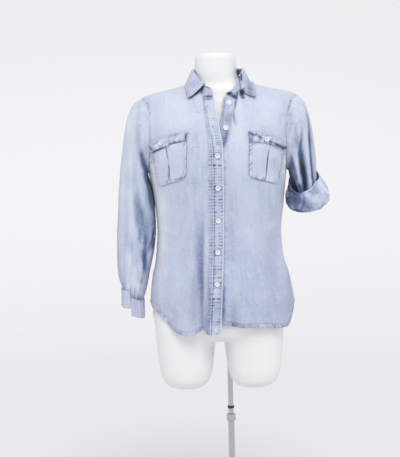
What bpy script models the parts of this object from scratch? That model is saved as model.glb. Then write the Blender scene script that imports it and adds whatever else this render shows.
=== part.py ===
"""A denim shirt worn by a limbless display form on its pole stand.

The frame is in metres: +Z up, the front faces -Y, +X is the wearer's left, and the origin is
on the floor under the form. The body of the shirt is one smooth surface given by an angle
round the form (0 at the front, 90 degrees at +X) and a height; its panels are regions of
that surface. Each sleeve is a surface given by an angle round the sleeve (0 at the outer
edge, 90 degrees at the front) and a share of its length. Every piece of cloth is a wall
between such a surface and a copy of it moved inwards.
"""

import bmesh
import bpy
import numpy as np

# ---- driving sizes, in metres ----
CLOTH = 0.0012           # one layer of denim
DOUBLE_CLOTH = 0.0018    # collar, stand, cuff: two layers sewn together
ROLLED_CLOTH = 0.0026    # the turned-up sleeve end, several layers
SEAM_GAP = 0.0003        # between pieces that are sewn together
POCKET_GAP = 0.0007      # under a pocket, whose own points are not the panel's
ARMHOLE_GAP = 0.0007     # the sleeve's first ring stands this far off the body's edge
FRONT_STEP = 0.0040      # how far the left front lies below the right front where they overlap

ARMPIT_Z = 1.0985
SHOULDER_TIP_Z = 1.2900
ARMHOLE_FRONT = 0.056    # reach of the armhole to the front and to the back
ARMHOLE_BACK = 0.052
ARMHOLE_STEPS = 12       # points along each half of an armhole, shared by panel and sleeve
NECK_CENTRE_X = 0.0095   # the neck opening, seen from above
NECK_HALF_WIDTH = 0.0715
NECK_FRONT = 0.0755
NECK_BACK = 0.0660
ROUNDNESS = 0.87         # 1 is a true ellipse; less is squarer at the four quarters

BAND_WIDTH = 0.0290      # button bands
BUTTON_RADIUS = 0.0070
BUTTON_THICK = 0.0024

POLE_X, POLE_Y = 0.0243, 0.085
BASE_RADIUS = 0.190
BASE_THICK = 0.008


def table(columns, *rows):
    """Named columns from rows of numbers."""
    return {name: np.array(values, float) for name, values in zip(columns.split(), zip(*rows))}


# One row for each level of the shirt's body. level is the height up to the armholes and then
# runs on over the shoulder, so that rows stay apart there. front and back are its depth.
BODY = table(
    "level  z       half_width centre_x front   back",
    (0.640, 0.640,  0.1910,    0.0040,  0.1250, 0.1240),
    (0.755, 0.755,  0.1885,    0.0065,  0.1230, 0.1220),
    (0.820, 0.820,  0.1800,    0.0045,  0.1180, 0.1150),
    (0.880, 0.880,  0.1660,    0.0025,  0.1130, 0.1050),
    (0.946, 0.946,  0.1610,    0.0030,  0.1120, 0.0980),
    (1.010, 1.010,  0.1665,    0.0045,  0.1170, 0.0990),
    (1.060, 1.060,  0.1725,    0.0040,  0.1240, 0.1030),
    (1.100, 1.100,  0.1785,    0.0025,  0.1290, 0.1060),
    (1.150, 1.150,  0.1840,    0.0035,  0.1310, 0.1080),
    (1.200, 1.200,  0.1880,    0.0055,  0.1230, 0.1080),
    (1.245, 1.245,  0.1935,    0.0080,  0.1040, 0.1030),
    (1.275, 1.2745, 0.1975,    0.0100,  0.0840, 0.0950),
    (1.292, 1.2900, 0.1985,    0.0105,  0.0715, 0.0880),
    (1.312, 1.2985, 0.1830,    0.0100,  0.0655, 0.0830),
    (1.340, 1.3055, 0.1550,    0.0100,  0.0615, 0.0780),
    (1.372, 1.3120, 0.1240,    0.0100,  0.0590, 0.0730),
    (1.401, 1.3190, 0.0960,    0.0095,  0.0560, 0.0690),
    (1.424, 1.3270, 0.0740,    0.0095,  0.0530, 0.0650),
    (1.446, 1.3400, 0.0560,    0.0095,  0.0480, 0.0590),
)

# Folds of the body: a ridge (+) or trough (-) that runs from (x_low, z_low) to (x_high, z_high).
BODY_FOLDS_FRONT = table(
    "x_low   z_low  x_high   z_high  width   depth",
    (-0.0420, 0.60, -0.0400, 1.020,  0.0095, -0.0085),
    (-0.0880, 0.60, -0.0700, 0.960,  0.0300,  0.0070),
    (-0.0200, 0.60, -0.0180, 0.900,  0.0170,  0.0040),
    (0.0330,  0.62,  0.0300, 0.860,  0.0140, -0.0035),
    (0.1150,  0.60,  0.0950, 0.940,  0.0320,  0.0045),
    (-0.0520, 1.10, -0.0600, 1.270,  0.0090, -0.0025),
    (0.0700,  1.08,  0.0620, 1.240,  0.0130,  0.0022),
)
BODY_FOLDS_BACK = table(
    "x_low   z_low  x_high   z_high  width   depth",
    (-0.1100, 0.58, -0.0800, 1.000,  0.0240,  0.0060),
    (-0.0600, 0.58, -0.0480, 1.080,  0.0160, -0.0065),
    (-0.0050, 0.58,  0.0020, 1.020,  0.0240,  0.0055),
    (0.0500,  0.58,  0.0420, 1.090,  0.0150, -0.0060),
    (0.1080,  0.58,  0.0850, 0.990,  0.0260,  0.0060),
)

HEM_TOP_Z = 0.770        # folds that start below this run off the hem

# The hems, seen from the front: height against x. The back hem is a plain curved tail.
RIGHT_HEM = table(
    "x        z",
    (-0.1870, 0.7660),
    (-0.1811, 0.7598),
    (-0.1744, 0.7500),
    (-0.1572, 0.7385),
    (-0.1420, 0.7270),
    (-0.1264, 0.7070),
    (-0.1084, 0.6940),
    (-0.0870, 0.6895),
    (-0.0704, 0.6910),
    (-0.0539, 0.7010),
    (-0.0466, 0.7035),
    (-0.0400, 0.6960),
    (-0.0291, 0.6905),
    (0.0040,  0.6965),
)
LEFT_HEM = table(
    "x        z",
    (-0.0300, 0.7160),
    (0.0040,  0.7158),
    (0.0326,  0.7100),
    (0.0560,  0.7062),
    (0.0795,  0.7068),
    (0.1160,  0.7055),
    (0.1537,  0.6985),
    (0.1700,  0.6990),
    (0.1801,  0.7124),
    (0.1873,  0.7325),
    (0.1934,  0.7550),
    (0.1960,  0.7600),
)
BACK_HEM = table(
    "x        z",
    (-0.1870, 0.7660),
    (-0.1600, 0.7350),
    (-0.1200, 0.6950),
    (-0.0600, 0.6800),
    (0.0000,  0.6780),
    (0.0700,  0.6800),
    (0.1250,  0.6900),
    (0.1680,  0.7250),
    (0.1960,  0.7600),
)

# The free edge of each front: x against level. The right front lies on top.
RIGHT_FRONT_EDGE = table(
    "level  x",
    (0.690, 0.0000),
    (0.730, 0.0015),
    (0.820, 0.0070),
    (0.900, 0.0110),
    (0.980, 0.0135),
    (1.060, 0.0150),
    (1.155, 0.0155),
    (1.213, 0.0075),
    (1.250, 0.0020),
    (1.292, -0.0040),
)
LEFT_FRONT_EDGE = table(
    "level  x",
    (0.690, -0.0270),
    (0.820, -0.0190),
    (0.900, -0.0150),
    (0.980, -0.0135),
    (1.060, -0.0130),
    (1.120, -0.0130),
    (1.155, -0.0110),
    (1.190, 0.0010),
    (1.220, 0.0085),
    (1.250, 0.0140),
    (1.292, 0.0200),
)

# One row for each ring of a sleeve, as seen from the front: its outer and its inner point,
# how far it reaches to the front and to the back, and how much lower its front hangs.
LONG_SLEEVE = table(
    "share  outer_x  outer_z  inner_x  inner_z  front   back    sag",
    (0.00,  -0.1880, 1.2900,  -0.1760, 1.0985,  0.0560, 0.0520, 0.000),
    (0.06,  -0.2060, 1.2800,  -0.1795, 1.0965,  0.0580, 0.0550, 0.000),
    (0.12,  -0.2200, 1.2600,  -0.1795, 1.0915,  0.0600, 0.0570, 0.000),
    (0.20,  -0.2320, 1.2250,  -0.1750, 1.0780,  0.0610, 0.0580, 0.000),
    (0.32,  -0.2425, 1.1600,  -0.1692, 1.0500,  0.0600, 0.0580, 0.000),
    (0.44,  -0.2530, 1.0800,  -0.1634, 1.0050,  0.0580, 0.0560, 0.000),
    (0.56,  -0.2600, 0.9950,  -0.1615, 0.9600,  0.0560, 0.0540, 0.000),
    (0.68,  -0.2650, 0.9200,  -0.1668, 0.9050,  0.0530, 0.0520, 0.000),
    (0.80,  -0.2660, 0.8650,  -0.1790, 0.8520,  0.0490, 0.0480, 0.000),
    (0.91,  -0.2625, 0.8280,  -0.1880, 0.8120,  0.0430, 0.0430, 0.000),
    (1.00,  -0.2540, 0.8010,  -0.2020, 0.7790,  0.0350, 0.0350, 0.000),
)
SHORT_SLEEVE = table(
    "share  outer_x  outer_z  inner_x  inner_z  front   back    sag",
    (0.00,  0.2085,  1.2900,  0.1812,  1.0985,  0.0560, 0.0520, 0.000),
    (0.12,  0.2250,  1.2780,  0.1845,  1.0970,  0.0580, 0.0550, 0.000),
    (0.26,  0.2370,  1.2530,  0.1865,  1.0940,  0.0600, 0.0570, 0.002),
    (0.44,  0.2475,  1.2120,  0.1880,  1.0860,  0.0590, 0.0570, 0.006),
    (0.62,  0.2545,  1.1650,  0.1900,  1.0740,  0.0540, 0.0530, 0.010),
    (0.80,  0.2585,  1.1080,  0.1945,  1.0560,  0.0470, 0.0460, 0.013),
    (1.00,  0.2590,  1.0350,  0.2040,  1.0260,  0.0400, 0.0390, 0.014),
)
# The turned-up end of the short sleeve, from the sleeve's own end, round the bottom and up
# the outside to its free rim.
TURN_UP = table(
    "share  outer_x  outer_z  inner_x  inner_z  front   back    sag",
    (0.00,  0.2590,  1.0350,  0.2040,  1.0260,  0.0400, 0.0390, 0.014),
    (0.12,  0.2600,  1.0150,  0.2000,  1.0090,  0.0440, 0.0430, 0.014),
    (0.24,  0.2620,  1.0060,  0.1920,  1.0020,  0.0500, 0.0490, 0.015),
    (0.37,  0.2710,  1.0110,  0.1830,  1.0080,  0.0560, 0.0560, 0.017),
    (0.52,  0.2895,  1.0275,  0.1810,  1.0190,  0.0600, 0.0600, 0.021),
    (0.68,  0.2875,  1.0420,  0.1835,  1.0330,  0.0605, 0.0610, 0.024),
    (0.84,  0.2760,  1.0590,  0.1870,  1.0480,  0.0585, 0.0600, 0.027),
    (1.00,  0.2660,  1.0770,  0.1900,  1.0620,  0.0560, 0.0580, 0.031),
)
TURN_UP_BLEND = 0.30     # share of the turn-up over which it leaves the sleeve's end

# Folds of a sleeve: angles round it in degrees, shares of its length, width in degrees.
LONG_SLEEVE_FOLDS = table(
    "angle_start share_start angle_end share_end width  depth",
    (70.0,       0.10,       100.0,    1.10,     20.0,  -0.0060),
    (40.0,       0.18,       55.0,     1.05,     18.0,   0.0030),
    (135.0,      0.16,       130.0,    0.98,     19.0,   0.0040),
    (250.0,      0.10,       265.0,    1.10,     20.0,  -0.0055),
    (300.0,      0.20,       310.0,    1.05,     20.0,   0.0035),
)
SHORT_SLEEVE_FOLDS = table(
    "angle_start share_start angle_end share_end width  depth",
    (100.0,      0.18,       90.0,     1.60,     19.0,  -0.0110),
    (30.0,       0.12,       48.0,     1.60,     17.0,  -0.0075),
    (155.0,      0.30,       140.0,    1.60,     19.0,  -0.0070),
    (235.0,      0.20,       250.0,    1.60,     19.0,  -0.0085),
    (300.0,      0.20,       305.0,    1.60,     19.0,  -0.0070),
)
TURN_UP_FOLDS = table(
    "angle_start share_start angle_end share_end width  depth",
    (92.0,       0.55,       86.0,     1.60,     20.0,   0.0060),
    (40.0,       0.30,       52.0,     1.10,     20.0,  -0.0030),
    (130.0,      0.26,       125.0,    1.05,     20.0,  -0.0028),
    (245.0,      0.40,       250.0,    1.60,     20.0,   0.0050),
)

# The cuff is a band open at the front; it runs from its upper end round the outside, back
# and inside to its lower end, which hangs lower.
CUFF_SLIT_ANGLE = 82.5
CUFF_HEIGHT = 0.047
CUFF_DROP = 0.0190
CUFF_OVERLAP = 0.0030    # how far the cuff covers the sleeve's end

# The collar stand runs from its right front end round the back to its left front end. lean is
# how far its top leans in towards the neck.
STAND_START, STAND_END = -14.2, 15.8   # plan angles of the two ends, in degrees
STAND = table(
    "share  height  lean",
    (0.000, 0.0130, 0.0060),
    (0.008, 0.0205, 0.0062),
    (0.016, 0.0240, 0.0065),
    (0.050, 0.0230, 0.0070),
    (0.100, 0.0215, 0.0075),
    (0.200, 0.0250, 0.0075),
    (0.300, 0.0280, 0.0050),
    (0.500, 0.0290, 0.0030),
    (0.650, 0.0280, 0.0050),
    (0.800, 0.0265, 0.0080),
    (0.910, 0.0215, 0.0080),
    (0.947, 0.0130, 0.0070),
    (0.975, 0.0105, 0.0060),
    (1.000, 0.0090, 0.0060),
)
# The collar folds over the stand between these plan angles. One row for each station from the
# wearer's right point round the back to the left point: its free edge and how the leaf sways.
COLLAR_START, COLLAR_END = -33.5, 53.0
COLLAR = table(
    "share  edge_x   edge_y   edge_z  sway_x   sway_z",
    (0.00,  -0.0668, -0.0780, 1.2836,  0.0030, -0.0040),
    (0.10,  -0.0725, -0.0580, 1.3020,  0.0000,  0.0000),
    (0.20,  -0.0745, -0.0180, 1.3205,  0.0000,  0.0000),
    (0.35,  -0.0640,  0.0450, 1.3235,  0.0000,  0.0000),
    (0.50,  -0.0070,  0.0800, 1.3165,  0.0000,  0.0000),
    (0.65,   0.0600,  0.0700, 1.3185,  0.0000,  0.0000),
    (0.80,   0.0920,  0.0220, 1.3235,  0.0000,  0.0000),
    (0.90,   0.0945, -0.0220, 1.3175, -0.0020, -0.0020),
    (1.00,   0.1020, -0.0780, 1.2823, -0.0150, -0.0150),
)
# Section of the turn over the stand: how far out and up from the top of the stand.
COLLAR_TURN = table(
    "step  out      up",
    (0.0,  -0.0020, 0.0009),
    (1.0,  -0.0020, 0.0026),
    (2.0,  -0.0003, 0.0055),
    (3.0,   0.0033, 0.0055),
    (4.0,   0.0050, 0.0025),
)

# Pockets and flaps, seen from the front: their four corners as (x, z), how far the flap bows up
# in its middle, how far its lower edge stands out, and its button as a share of the flap's width
# and height.
POCKETS = {
    "right": {
        "pocket": ((-0.1660, 1.1620), (-0.0740, 1.1920), (-0.0770, 1.0880), (-0.1480, 1.0650)),
        "flap": ((-0.1685, 1.1720), (-0.0700, 1.2030), (-0.0745, 1.1790), (-0.1610, 1.1500)),
        "bow": 0.0050,
        "flare": 0.0010,
        "button": (0.30, 0.42),
    },
    "left": {
        "pocket": ((0.0800, 1.1880), (0.1730, 1.1600), (0.1530, 1.0650), (0.0760, 1.0850)),
        "flap": ((0.0780, 1.1990), (0.1755, 1.1690), (0.1720, 1.1500), (0.0800, 1.1730)),
        "bow": 0.0050,
        "flare": 0.0030,
        "button": (0.46, 0.52),
    },
}
POCKET_CORNER = 0.22     # share of the pocket's height that its rounded corners take

# Buttons on the fronts: x and z. The top two sit on the left front's band.
LEFT_BAND_BUTTONS = ((0.0330, 1.2700), (0.0235, 1.2100))
RIGHT_BAND_BUTTONS = ((0.0005, 1.1410), (0.0000, 1.0610), (-0.0010, 0.9790), (-0.0040, 0.8990), (-0.0080, 0.8190))

# The display form, one row for each level. Its shoulders carry the shirt, so there its rows
# follow the shirt's body from just beneath. Under the hem it ends in two rounded stubs.
FORM = table(
    "level  z       half_width centre_x front   back",
    (0.655, 0.6575, 0.0300,   -0.0030,  0.0400, 0.0450),
    (0.659, 0.6615, 0.0650,   -0.0030,  0.0660, 0.0740),
    (0.668, 0.6695, 0.1100,   -0.0040,  0.0840, 0.0920),
    (0.685, 0.6850, 0.1480,   -0.0050,  0.0980, 0.1040),
    (0.705, 0.7050, 0.1680,   -0.0040,  0.1070, 0.1110),
    (0.730, 0.7300, 0.1745,   -0.0030,  0.1100, 0.1130),
    (0.780, 0.7800, 0.1680,    0.0000,  0.1050, 0.1060),
    (0.860, 0.8600, 0.1420,    0.0020,  0.0940, 0.0900),
    (0.940, 0.9400, 0.1250,    0.0030,  0.0870, 0.0800),
    (1.020, 1.0200, 0.1360,    0.0030,  0.0940, 0.0830),
    (1.080, 1.0800, 0.1490,    0.0030,  0.1050, 0.0880),
    (1.130, 1.1300, 0.1560,    0.0040,  0.1120, 0.0920),
    (1.180, 1.1800, 0.1600,    0.0060,  0.1080, 0.0950),
    (1.230, 1.2300, 0.1640,    0.0080,  0.0940, 0.0940),
    (1.265, 1.2620, 0.1690,    0.0100,  0.0780, 0.0860),
    (1.292, 1.2850, 0.1720,    0.0105,  0.0640, 0.0790),
    (1.318, 1.2965, 0.1660,    0.0100,  0.0600, 0.0760),
    (1.340, 1.3033, 0.1530,    0.0100,  0.0595, 0.0755),
    (1.372, 1.3101, 0.1240,    0.0100,  0.0575, 0.0710),
    (1.401, 1.3171, 0.0960,    0.0095,  0.0545, 0.0670),
    (1.424, 1.3251, 0.0710,    0.0085,  0.0520, 0.0600),
    (1.446, 1.3370, 0.0570,    0.0045,  0.0520, 0.0540),
    (1.462, 1.3520, 0.0535,    0.0032,  0.0525, 0.0525),
    (1.500, 1.3940, 0.0530,    0.0030,  0.0525, 0.0525),
    (1.506, 1.4000, 0.0490,    0.0030,  0.0490, 0.0490),
)
FORM_RINGS = (0.655, 0.659, 0.668, 0.685, 0.705, 0.730, 0.780, 0.860, 0.940, 1.020, 1.080, 1.130, 1.180,
              1.230, 1.265, 1.292, 1.308, 1.324, 1.340, 1.356, 1.372, 1.387, 1.401, 1.413, 1.424, 1.435,
              1.446, 1.462, 1.500, 1.506)
STUB = table(
    "z      radius_x radius_y",
    (0.5280, 0.0180, 0.0190),
    (0.5315, 0.0360, 0.0380),
    (0.5385, 0.0500, 0.0530),
    (0.5530, 0.0615, 0.0660),
    (0.5780, 0.0690, 0.0750),
    (0.6100, 0.0735, 0.0820),
    (0.6400, 0.0760, 0.0880),
    (0.6720, 0.0785, 0.0940),
    (0.7000, 0.0795, 0.0990),
    (0.7250, 0.0760, 0.0980),
    (0.7400, 0.0600, 0.0800),
)
STUB_CENTRES_X = (-0.0925, 0.0865)

DENIM = ("denim", (0.62, 0.67, 0.80, 1.0), 0.90, 0.0)
DENIM_SEAM = ("denim_band", (0.52, 0.57, 0.72, 1.0), 0.90, 0.0)
PEARL = ("pearl_button", (0.90, 0.89, 0.87, 1.0), 0.30, 0.0)
FORM_WHITE = ("form_shell", (0.88, 0.88, 0.88, 1.0), 0.45, 0.0)
STAND_METAL = ("stand_metal", (0.62, 0.58, 0.60, 1.0), 0.30, 1.0)
STAND_BLACK = ("stand_rubber", (0.03, 0.03, 0.03, 1.0), 0.60, 0.0)


# ---- smooth curves and surfaces ----
def smooth(at, xs, ys):
    """Monotone cubic through the points (xs, ys), so that it never overshoots a row."""
    steps = np.diff(xs)
    slopes = np.diff(ys) / steps
    product = slopes[:-1] * slopes[1:]
    total = np.where(product > 0, slopes[:-1] + slopes[1:], 1.0)
    inner = np.where(product > 0, 2 * product / total, 0.0)
    tangents = np.concatenate([slopes[:1], inner, slopes[-1:]])
    at = np.clip(at, xs[0], xs[-1])
    i = np.clip(np.searchsorted(xs, at) - 1, 0, len(xs) - 2)
    t = (at - xs[i]) / steps[i]
    t2, t3 = t * t, t * t * t
    return (
        (2 * t3 - 3 * t2 + 1) * ys[i]
        + (t3 - 2 * t2 + t) * steps[i] * tangents[i]
        + (3 * t2 - 2 * t3) * ys[i + 1]
        + (t3 - t2) * steps[i] * tangents[i + 1]
    )


def column(rows, name, at):
    """A column of a table at the given values of its first column."""
    return smooth(at, next(iter(rows.values())), rows[name])


def smoothstep(t):
    t = np.clip(t, 0.0, 1.0)
    return t * t * (3 - 2 * t)


def signed_power(value, exponent):
    return np.sign(value) * np.abs(value) ** exponent


def vectors(x, y, z):
    return np.stack(np.broadcast_arrays(x, y, z), axis=-1)


def unit(v):
    return v / np.linalg.norm(v, axis=-1, keepdims=True)


def normals(surface, a, b, step_a=0.004, step_b=0.0008):
    """Outward unit normals of surface(a, b), from its slopes."""
    along_a = surface(a + step_a, b) - surface(a - step_a, b)
    along_b = surface(a, b + step_b) - surface(a, b - step_b)
    return unit(np.cross(along_a, along_b))


LEVELS = np.linspace(BODY["level"][0], BODY["level"][-1], 3000)
LEVEL_HEIGHTS = column(BODY, "z", LEVELS)


def level_at(z):
    """The body's level at a given height."""
    return np.interp(z, LEVEL_HEIGHTS, LEVELS)


def body_depth(level, front):
    return np.where(front, column(BODY, "front", level), column(BODY, "back", level))


def bare_body(theta, level):
    """The shirt's body with no folds."""
    across, facing = np.sin(theta), np.cos(theta)
    x = column(BODY, "centre_x", level) + column(BODY, "half_width", level) * signed_power(across, ROUNDNESS)
    y = -body_depth(level, facing > 0) * signed_power(facing, ROUNDNESS)
    return vectors(x, y, column(BODY, "z", level))


def body_folds(theta, level):
    """How far the folds lift the body's surface."""
    x, z = bare_body(theta, level)[..., 0], column(BODY, "z", level)
    front_share = smoothstep(0.5 + np.cos(theta) / 0.5)
    height = np.zeros(np.shape(x))
    for rows, share in ((BODY_FOLDS_FRONT, front_share), (BODY_FOLDS_BACK, 1 - front_share)):
        for x_low, z_low, x_high, z_high, width, depth in zip(*rows.values()):
            reach = np.clip((z - z_low) / (z_high - z_low), 0.0, 1.0)
            distance = x - (x_low + (x_high - x_low) * reach)
            fade = smoothstep((1.0 - reach) / 0.6)
            if z_low > HEM_TOP_Z:
                fade = fade * smoothstep(reach / 0.3)
            height = height + share * depth * np.exp(-((distance / width) ** 2)) * fade
    return height


def body(theta, level):
    """The shirt's body: its outer surface."""
    return bare_body(theta, level) + normals(bare_body, theta, level) * body_folds(theta, level)[..., None]


def theta_at(x, level):
    """The body's angle, on its front, at a given x and level."""
    across = (x - column(BODY, "centre_x", level)) / column(BODY, "half_width", level)
    return np.arcsin(signed_power(np.clip(across, -1.0, 1.0), 1 / ROUNDNESS))


def hem_z(hem, theta):
    """Height of a hem round the body."""
    return column(hem, "z", bare_body(theta, np.full(np.shape(theta), 0.72))[..., 0])


def from_body(points):
    """Rough distance of points from the body's surface, positive outside, and its direction."""
    power = 2 / ROUNDNESS

    def value(p):
        level = level_at(p[..., 2])
        across = np.abs((p[..., 0] - column(BODY, "centre_x", level)) / column(BODY, "half_width", level))
        depth = np.abs(p[..., 1] / body_depth(level, p[..., 1] < 0))
        return (across**power + depth**power) ** (1 / power) - 1

    step = 0.0005
    slope = np.stack([value(points + step * a) - value(points - step * a) for a in np.eye(3)], axis=-1) / (2 * step)
    length = np.linalg.norm(slope, axis=-1)
    return value(points) / length, slope / length[..., None]


def lift_off(points, least):
    """Moves points out until they are at least this far from the body's surface."""
    for _ in range(8):
        distance, direction = from_body(points)
        points = points + direction * np.clip(least - distance, 0.0, 0.003)[..., None]
    return points


# ---- edges of the body's panels, as (angle, height) ----
def armhole(angle, side):
    """The armhole's edge: 0 at the shoulder tip, 90 degrees at the front, 180 at the armpit."""
    middle, half = (SHOULDER_TIP_Z + ARMPIT_Z) / 2, (SHOULDER_TIP_Z - ARMPIT_Z) / 2
    level = level_at(middle + half * np.cos(angle))
    front = np.sin(angle) >= 0
    reach = np.where(front, ARMHOLE_FRONT, ARMHOLE_BACK) * np.abs(np.sin(angle)) ** 0.8
    from_side = np.arcsin((reach / body_depth(level, front)) ** (1 / ROUNDNESS))
    return side * (np.pi / 2 - np.where(front, from_side, -from_side)), level


def neckline(plan_angle):
    """The neck opening's edge: an oval in plan, let down onto the body's surface."""
    front = np.cos(plan_angle) > 0
    facing = np.abs(np.cos(plan_angle))
    x = NECK_CENTRE_X + NECK_HALF_WIDTH * np.sin(plan_angle)
    y = np.where(front, NECK_FRONT * facing**0.6, NECK_BACK * facing)
    low, high = np.full(np.shape(x), 1.20), np.full(np.shape(x), float(BODY["level"][-1]))
    for _ in range(40):
        level = (low + high) / 2
        across = np.abs((x - column(BODY, "centre_x", level)) / column(BODY, "half_width", level))
        outside = across ** (2 / ROUNDNESS) + (y / body_depth(level, front)) ** (2 / ROUNDNESS) > 1
        low, high = np.where(outside, low, level), np.where(outside, level, high)
    theta = theta_at(x, level)
    return np.where(front, theta, np.sign(theta) * np.pi - theta), level


SEAM_ANGLE = 0.0010      # half of a side seam's gap, as an angle at the body's side
SHOULDER_STEPS = 4
# Shares across a front, from its band to the side seam: closest where the deep fold runs.
FRONT_COLUMNS = np.array([0.028, 0.058, 0.093, 0.129, 0.166, 0.213, 0.284, 0.366, 0.462, 0.582, 0.719, 0.860, 1.0])


def grid(across, along):
    return np.meshgrid(np.linspace(0, 1, across + 1), np.linspace(0, 1, along + 1), indexing="ij")


def patch(left, right, bottom, top, u, v):
    """A patch between four edge curves, each a function of a share, in (angle, level)."""
    corners = {(i, j): (bottom if j == 0 else top)(0 * u + i) for i in (0, 1) for j in (0, 1)}
    return [
        (1 - u) * left(v)[k] + u * right(v)[k] + (1 - v) * bottom(u)[k] + v * top(u)[k]
        - (1 - u) * (1 - v) * corners[0, 0][k] - u * (1 - v) * corners[1, 0][k]
        - (1 - u) * v * corners[0, 1][k] - u * v * corners[1, 1][k]
        for k in (0, 1)
    ]


def side_edge(v, side, half, at_seam):
    """From the armpit up the armhole to the shoulder tip and along the shoulder to the neck."""
    tip = ARMHOLE_STEPS / (ARMHOLE_STEPS + SHOULDER_STEPS)
    up = np.clip(v / tip, 0, 1)
    theta, level = armhole(np.pi * (1 - up) if half > 0 else np.pi * (1 + up), side)
    over = np.clip((v - tip) / (1 - tip), 0, 1)
    neck_level = float(neckline(np.array(side * np.pi / 2))[1])
    on_shoulder = v > tip
    tip_level = level_at(SHOULDER_TIP_Z)
    level = np.where(on_shoulder, tip_level + (neck_level - tip_level) * over, level)
    return np.where(on_shoulder, at_seam, theta), level


def rows_up(low_rows):
    """Shares of the rows under the armhole, and of those beside and over it."""
    return np.linspace(0, 1, low_rows + 1), np.linspace(0, 1, ARMHOLE_STEPS + SHOULDER_STEPS + 1)


def front_region(side, edge, hem, low_rows, band_columns=2):
    """Grid of (angle, level) for a front: its band strip and then the rest of the panel."""
    seam = side * (np.pi / 2 - SEAM_ANGLE)
    low, high = rows_up(low_rows)

    def line_x(level, strip_share):
        return column(edge, "x", level) + side * BAND_WIDTH * strip_share

    def line_top(strip_share):
        level = 1.29
        for _ in range(8):
            plan = np.arcsin((line_x(level, strip_share) - NECK_CENTRE_X) / NECK_HALF_WIDTH)
            level = float(neckline(np.array(plan))[1])
        return plan, level

    def line(v, strip_share):
        level = ARMPIT_Z + (line_top(strip_share)[1] - ARMPIT_Z) * v
        return theta_at(line_x(level, strip_share), level), level

    columns_theta, columns_level = [], []
    for strip_share in np.linspace(0, 1, band_columns + 1):
        bottom = float(hem_z(hem, theta_at(line_x(0.72, strip_share), 0.72)))
        level_low = bottom + (ARMPIT_Z - bottom) * low
        theta_high, level_high = line(high, strip_share)
        columns_theta.append(np.concatenate([theta_at(line_x(level_low, strip_share), level_low), theta_high[1:]]))
        columns_level.append(np.concatenate([level_low, level_high[1:]]))

    u, v = np.meshgrid(FRONT_COLUMNS, low, indexing="ij")
    start = columns_theta[-1][: low_rows + 1]
    theta = start + (seam - start) * u
    bottom = hem_z(hem, theta[:, :1])
    main_low = theta, bottom + (ARMPIT_Z - bottom) * v

    start_plan = line_top(1.0)[0]
    u, v = np.meshgrid(FRONT_COLUMNS, high, indexing="ij")
    theta, level = patch(
        lambda v: line(v, 1.0),
        lambda v: side_edge(v, side, 1, seam),
        lambda u: (line(np.zeros(1), 1.0)[0] * (1 - u) + seam * u, ARMPIT_Z + 0 * u),
        lambda u: neckline(start_plan + (side * np.pi / 2 - start_plan) * u),
        u, v,
    )
    limit = np.pi / 2 - SEAM_ANGLE
    theta = np.clip(theta, -limit, limit)
    return (
        np.vstack([columns_theta, np.hstack([main_low[0], theta[:, 1:]])]),
        np.vstack([columns_level, np.hstack([main_low[1], level[:, 1:]])]),
    )


def back_region(columns, low_rows):
    """Grid of (angle, level) for the back, from the left side seam to the right one."""
    start, end = np.pi / 2 + SEAM_ANGLE, 3 * np.pi / 2 - SEAM_ANGLE
    low, high = rows_up(low_rows)

    u, v = np.meshgrid(np.linspace(0, 1, columns + 1), low, indexing="ij")
    low_theta = start + (end - start) * u
    bottom = hem_z(BACK_HEM, low_theta)
    low_level = bottom + (ARMPIT_Z - bottom) * v

    def left(v):
        return side_edge(v, 1, -1, start)

    def right(v):
        theta, level = side_edge(v, -1, -1, end - 2 * np.pi)
        return theta + 2 * np.pi, level

    def top(u):
        theta, level = neckline(np.pi / 2 + np.pi * u)
        return theta % (2 * np.pi), level

    u, v = np.meshgrid(np.linspace(0, 1, columns + 1), high, indexing="ij")
    theta, level = patch(left, right, lambda u: (start + (end - start) * u, ARMPIT_Z + 0 * u), top, u, v)
    theta = np.clip(theta, start, end)
    return np.hstack([low_theta, theta[:, 1:]]), np.hstack([low_level, level[:, 1:]])


# ---- sleeves ----
def ring(rows, angle, share):
    """A point of a sleeve's rings, before it is fitted to the armhole."""
    outer_x, outer_z, inner_x, inner_z, front, back, sag = (
        column(rows, name, share)
        for name in ("outer_x", "outer_z", "inner_x", "inner_z", "front", "back", "sag")
    )
    out, forward = np.cos(angle), np.sin(angle)
    out_share = (1 + signed_power(out, ROUNDNESS)) / 2
    depth = np.where(forward > 0, front, back) * signed_power(forward, ROUNDNESS)
    x = inner_x + (outer_x - inner_x) * out_share
    z = inner_z + (outer_z - inner_z) * out_share - sag * forward
    return vectors(x, -depth, z)


def sleeve_folds(rows, angle, share):
    """How far the folds lift a sleeve's surface."""
    degrees = np.degrees(angle)
    height = np.zeros(np.shape(degrees + share))
    for angle_start, share_start, angle_end, share_end, width, depth in zip(*rows.values()):
        reach = np.clip((share - share_start) / (share_end - share_start), 0.0, 1.0)
        distance = degrees - (angle_start + (angle_end - angle_start) * reach)
        distance = (distance + 180.0) % 360.0 - 180.0
        fade = smoothstep(reach / 0.4)
        if share_end <= 1.0:
            fade = fade * smoothstep((1 - reach) / 0.4)
        height = height + depth * np.exp(-((distance / width) ** 2)) * fade
    return height


FITTED_SHARE = 0.22   # share of a sleeve over which it changes from the armhole to free rings


def sleeve(rows, folds, side):
    """A sleeve's outer surface as a function of (angle, share)."""

    def bare(angle, share):
        free = ring(rows, angle, share)
        edge = body(*armhole(angle % (2 * np.pi), side)) + vectors(side * ARMHOLE_GAP, 0.0, 0.0)
        weight = 1 - smoothstep(share / FITTED_SHARE)
        return free + (edge - ring(rows, angle, 0 * share)) * weight[..., None]

    def surface(angle, share):
        angle, share = np.broadcast_arrays(angle, share)
        outward = normals(bare, angle, np.clip(share, 0.004, 1.0), step_b=0.004) * side
        return bare(angle, share) + outward * sleeve_folds(folds, angle, share)[..., None]

    return surface


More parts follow.
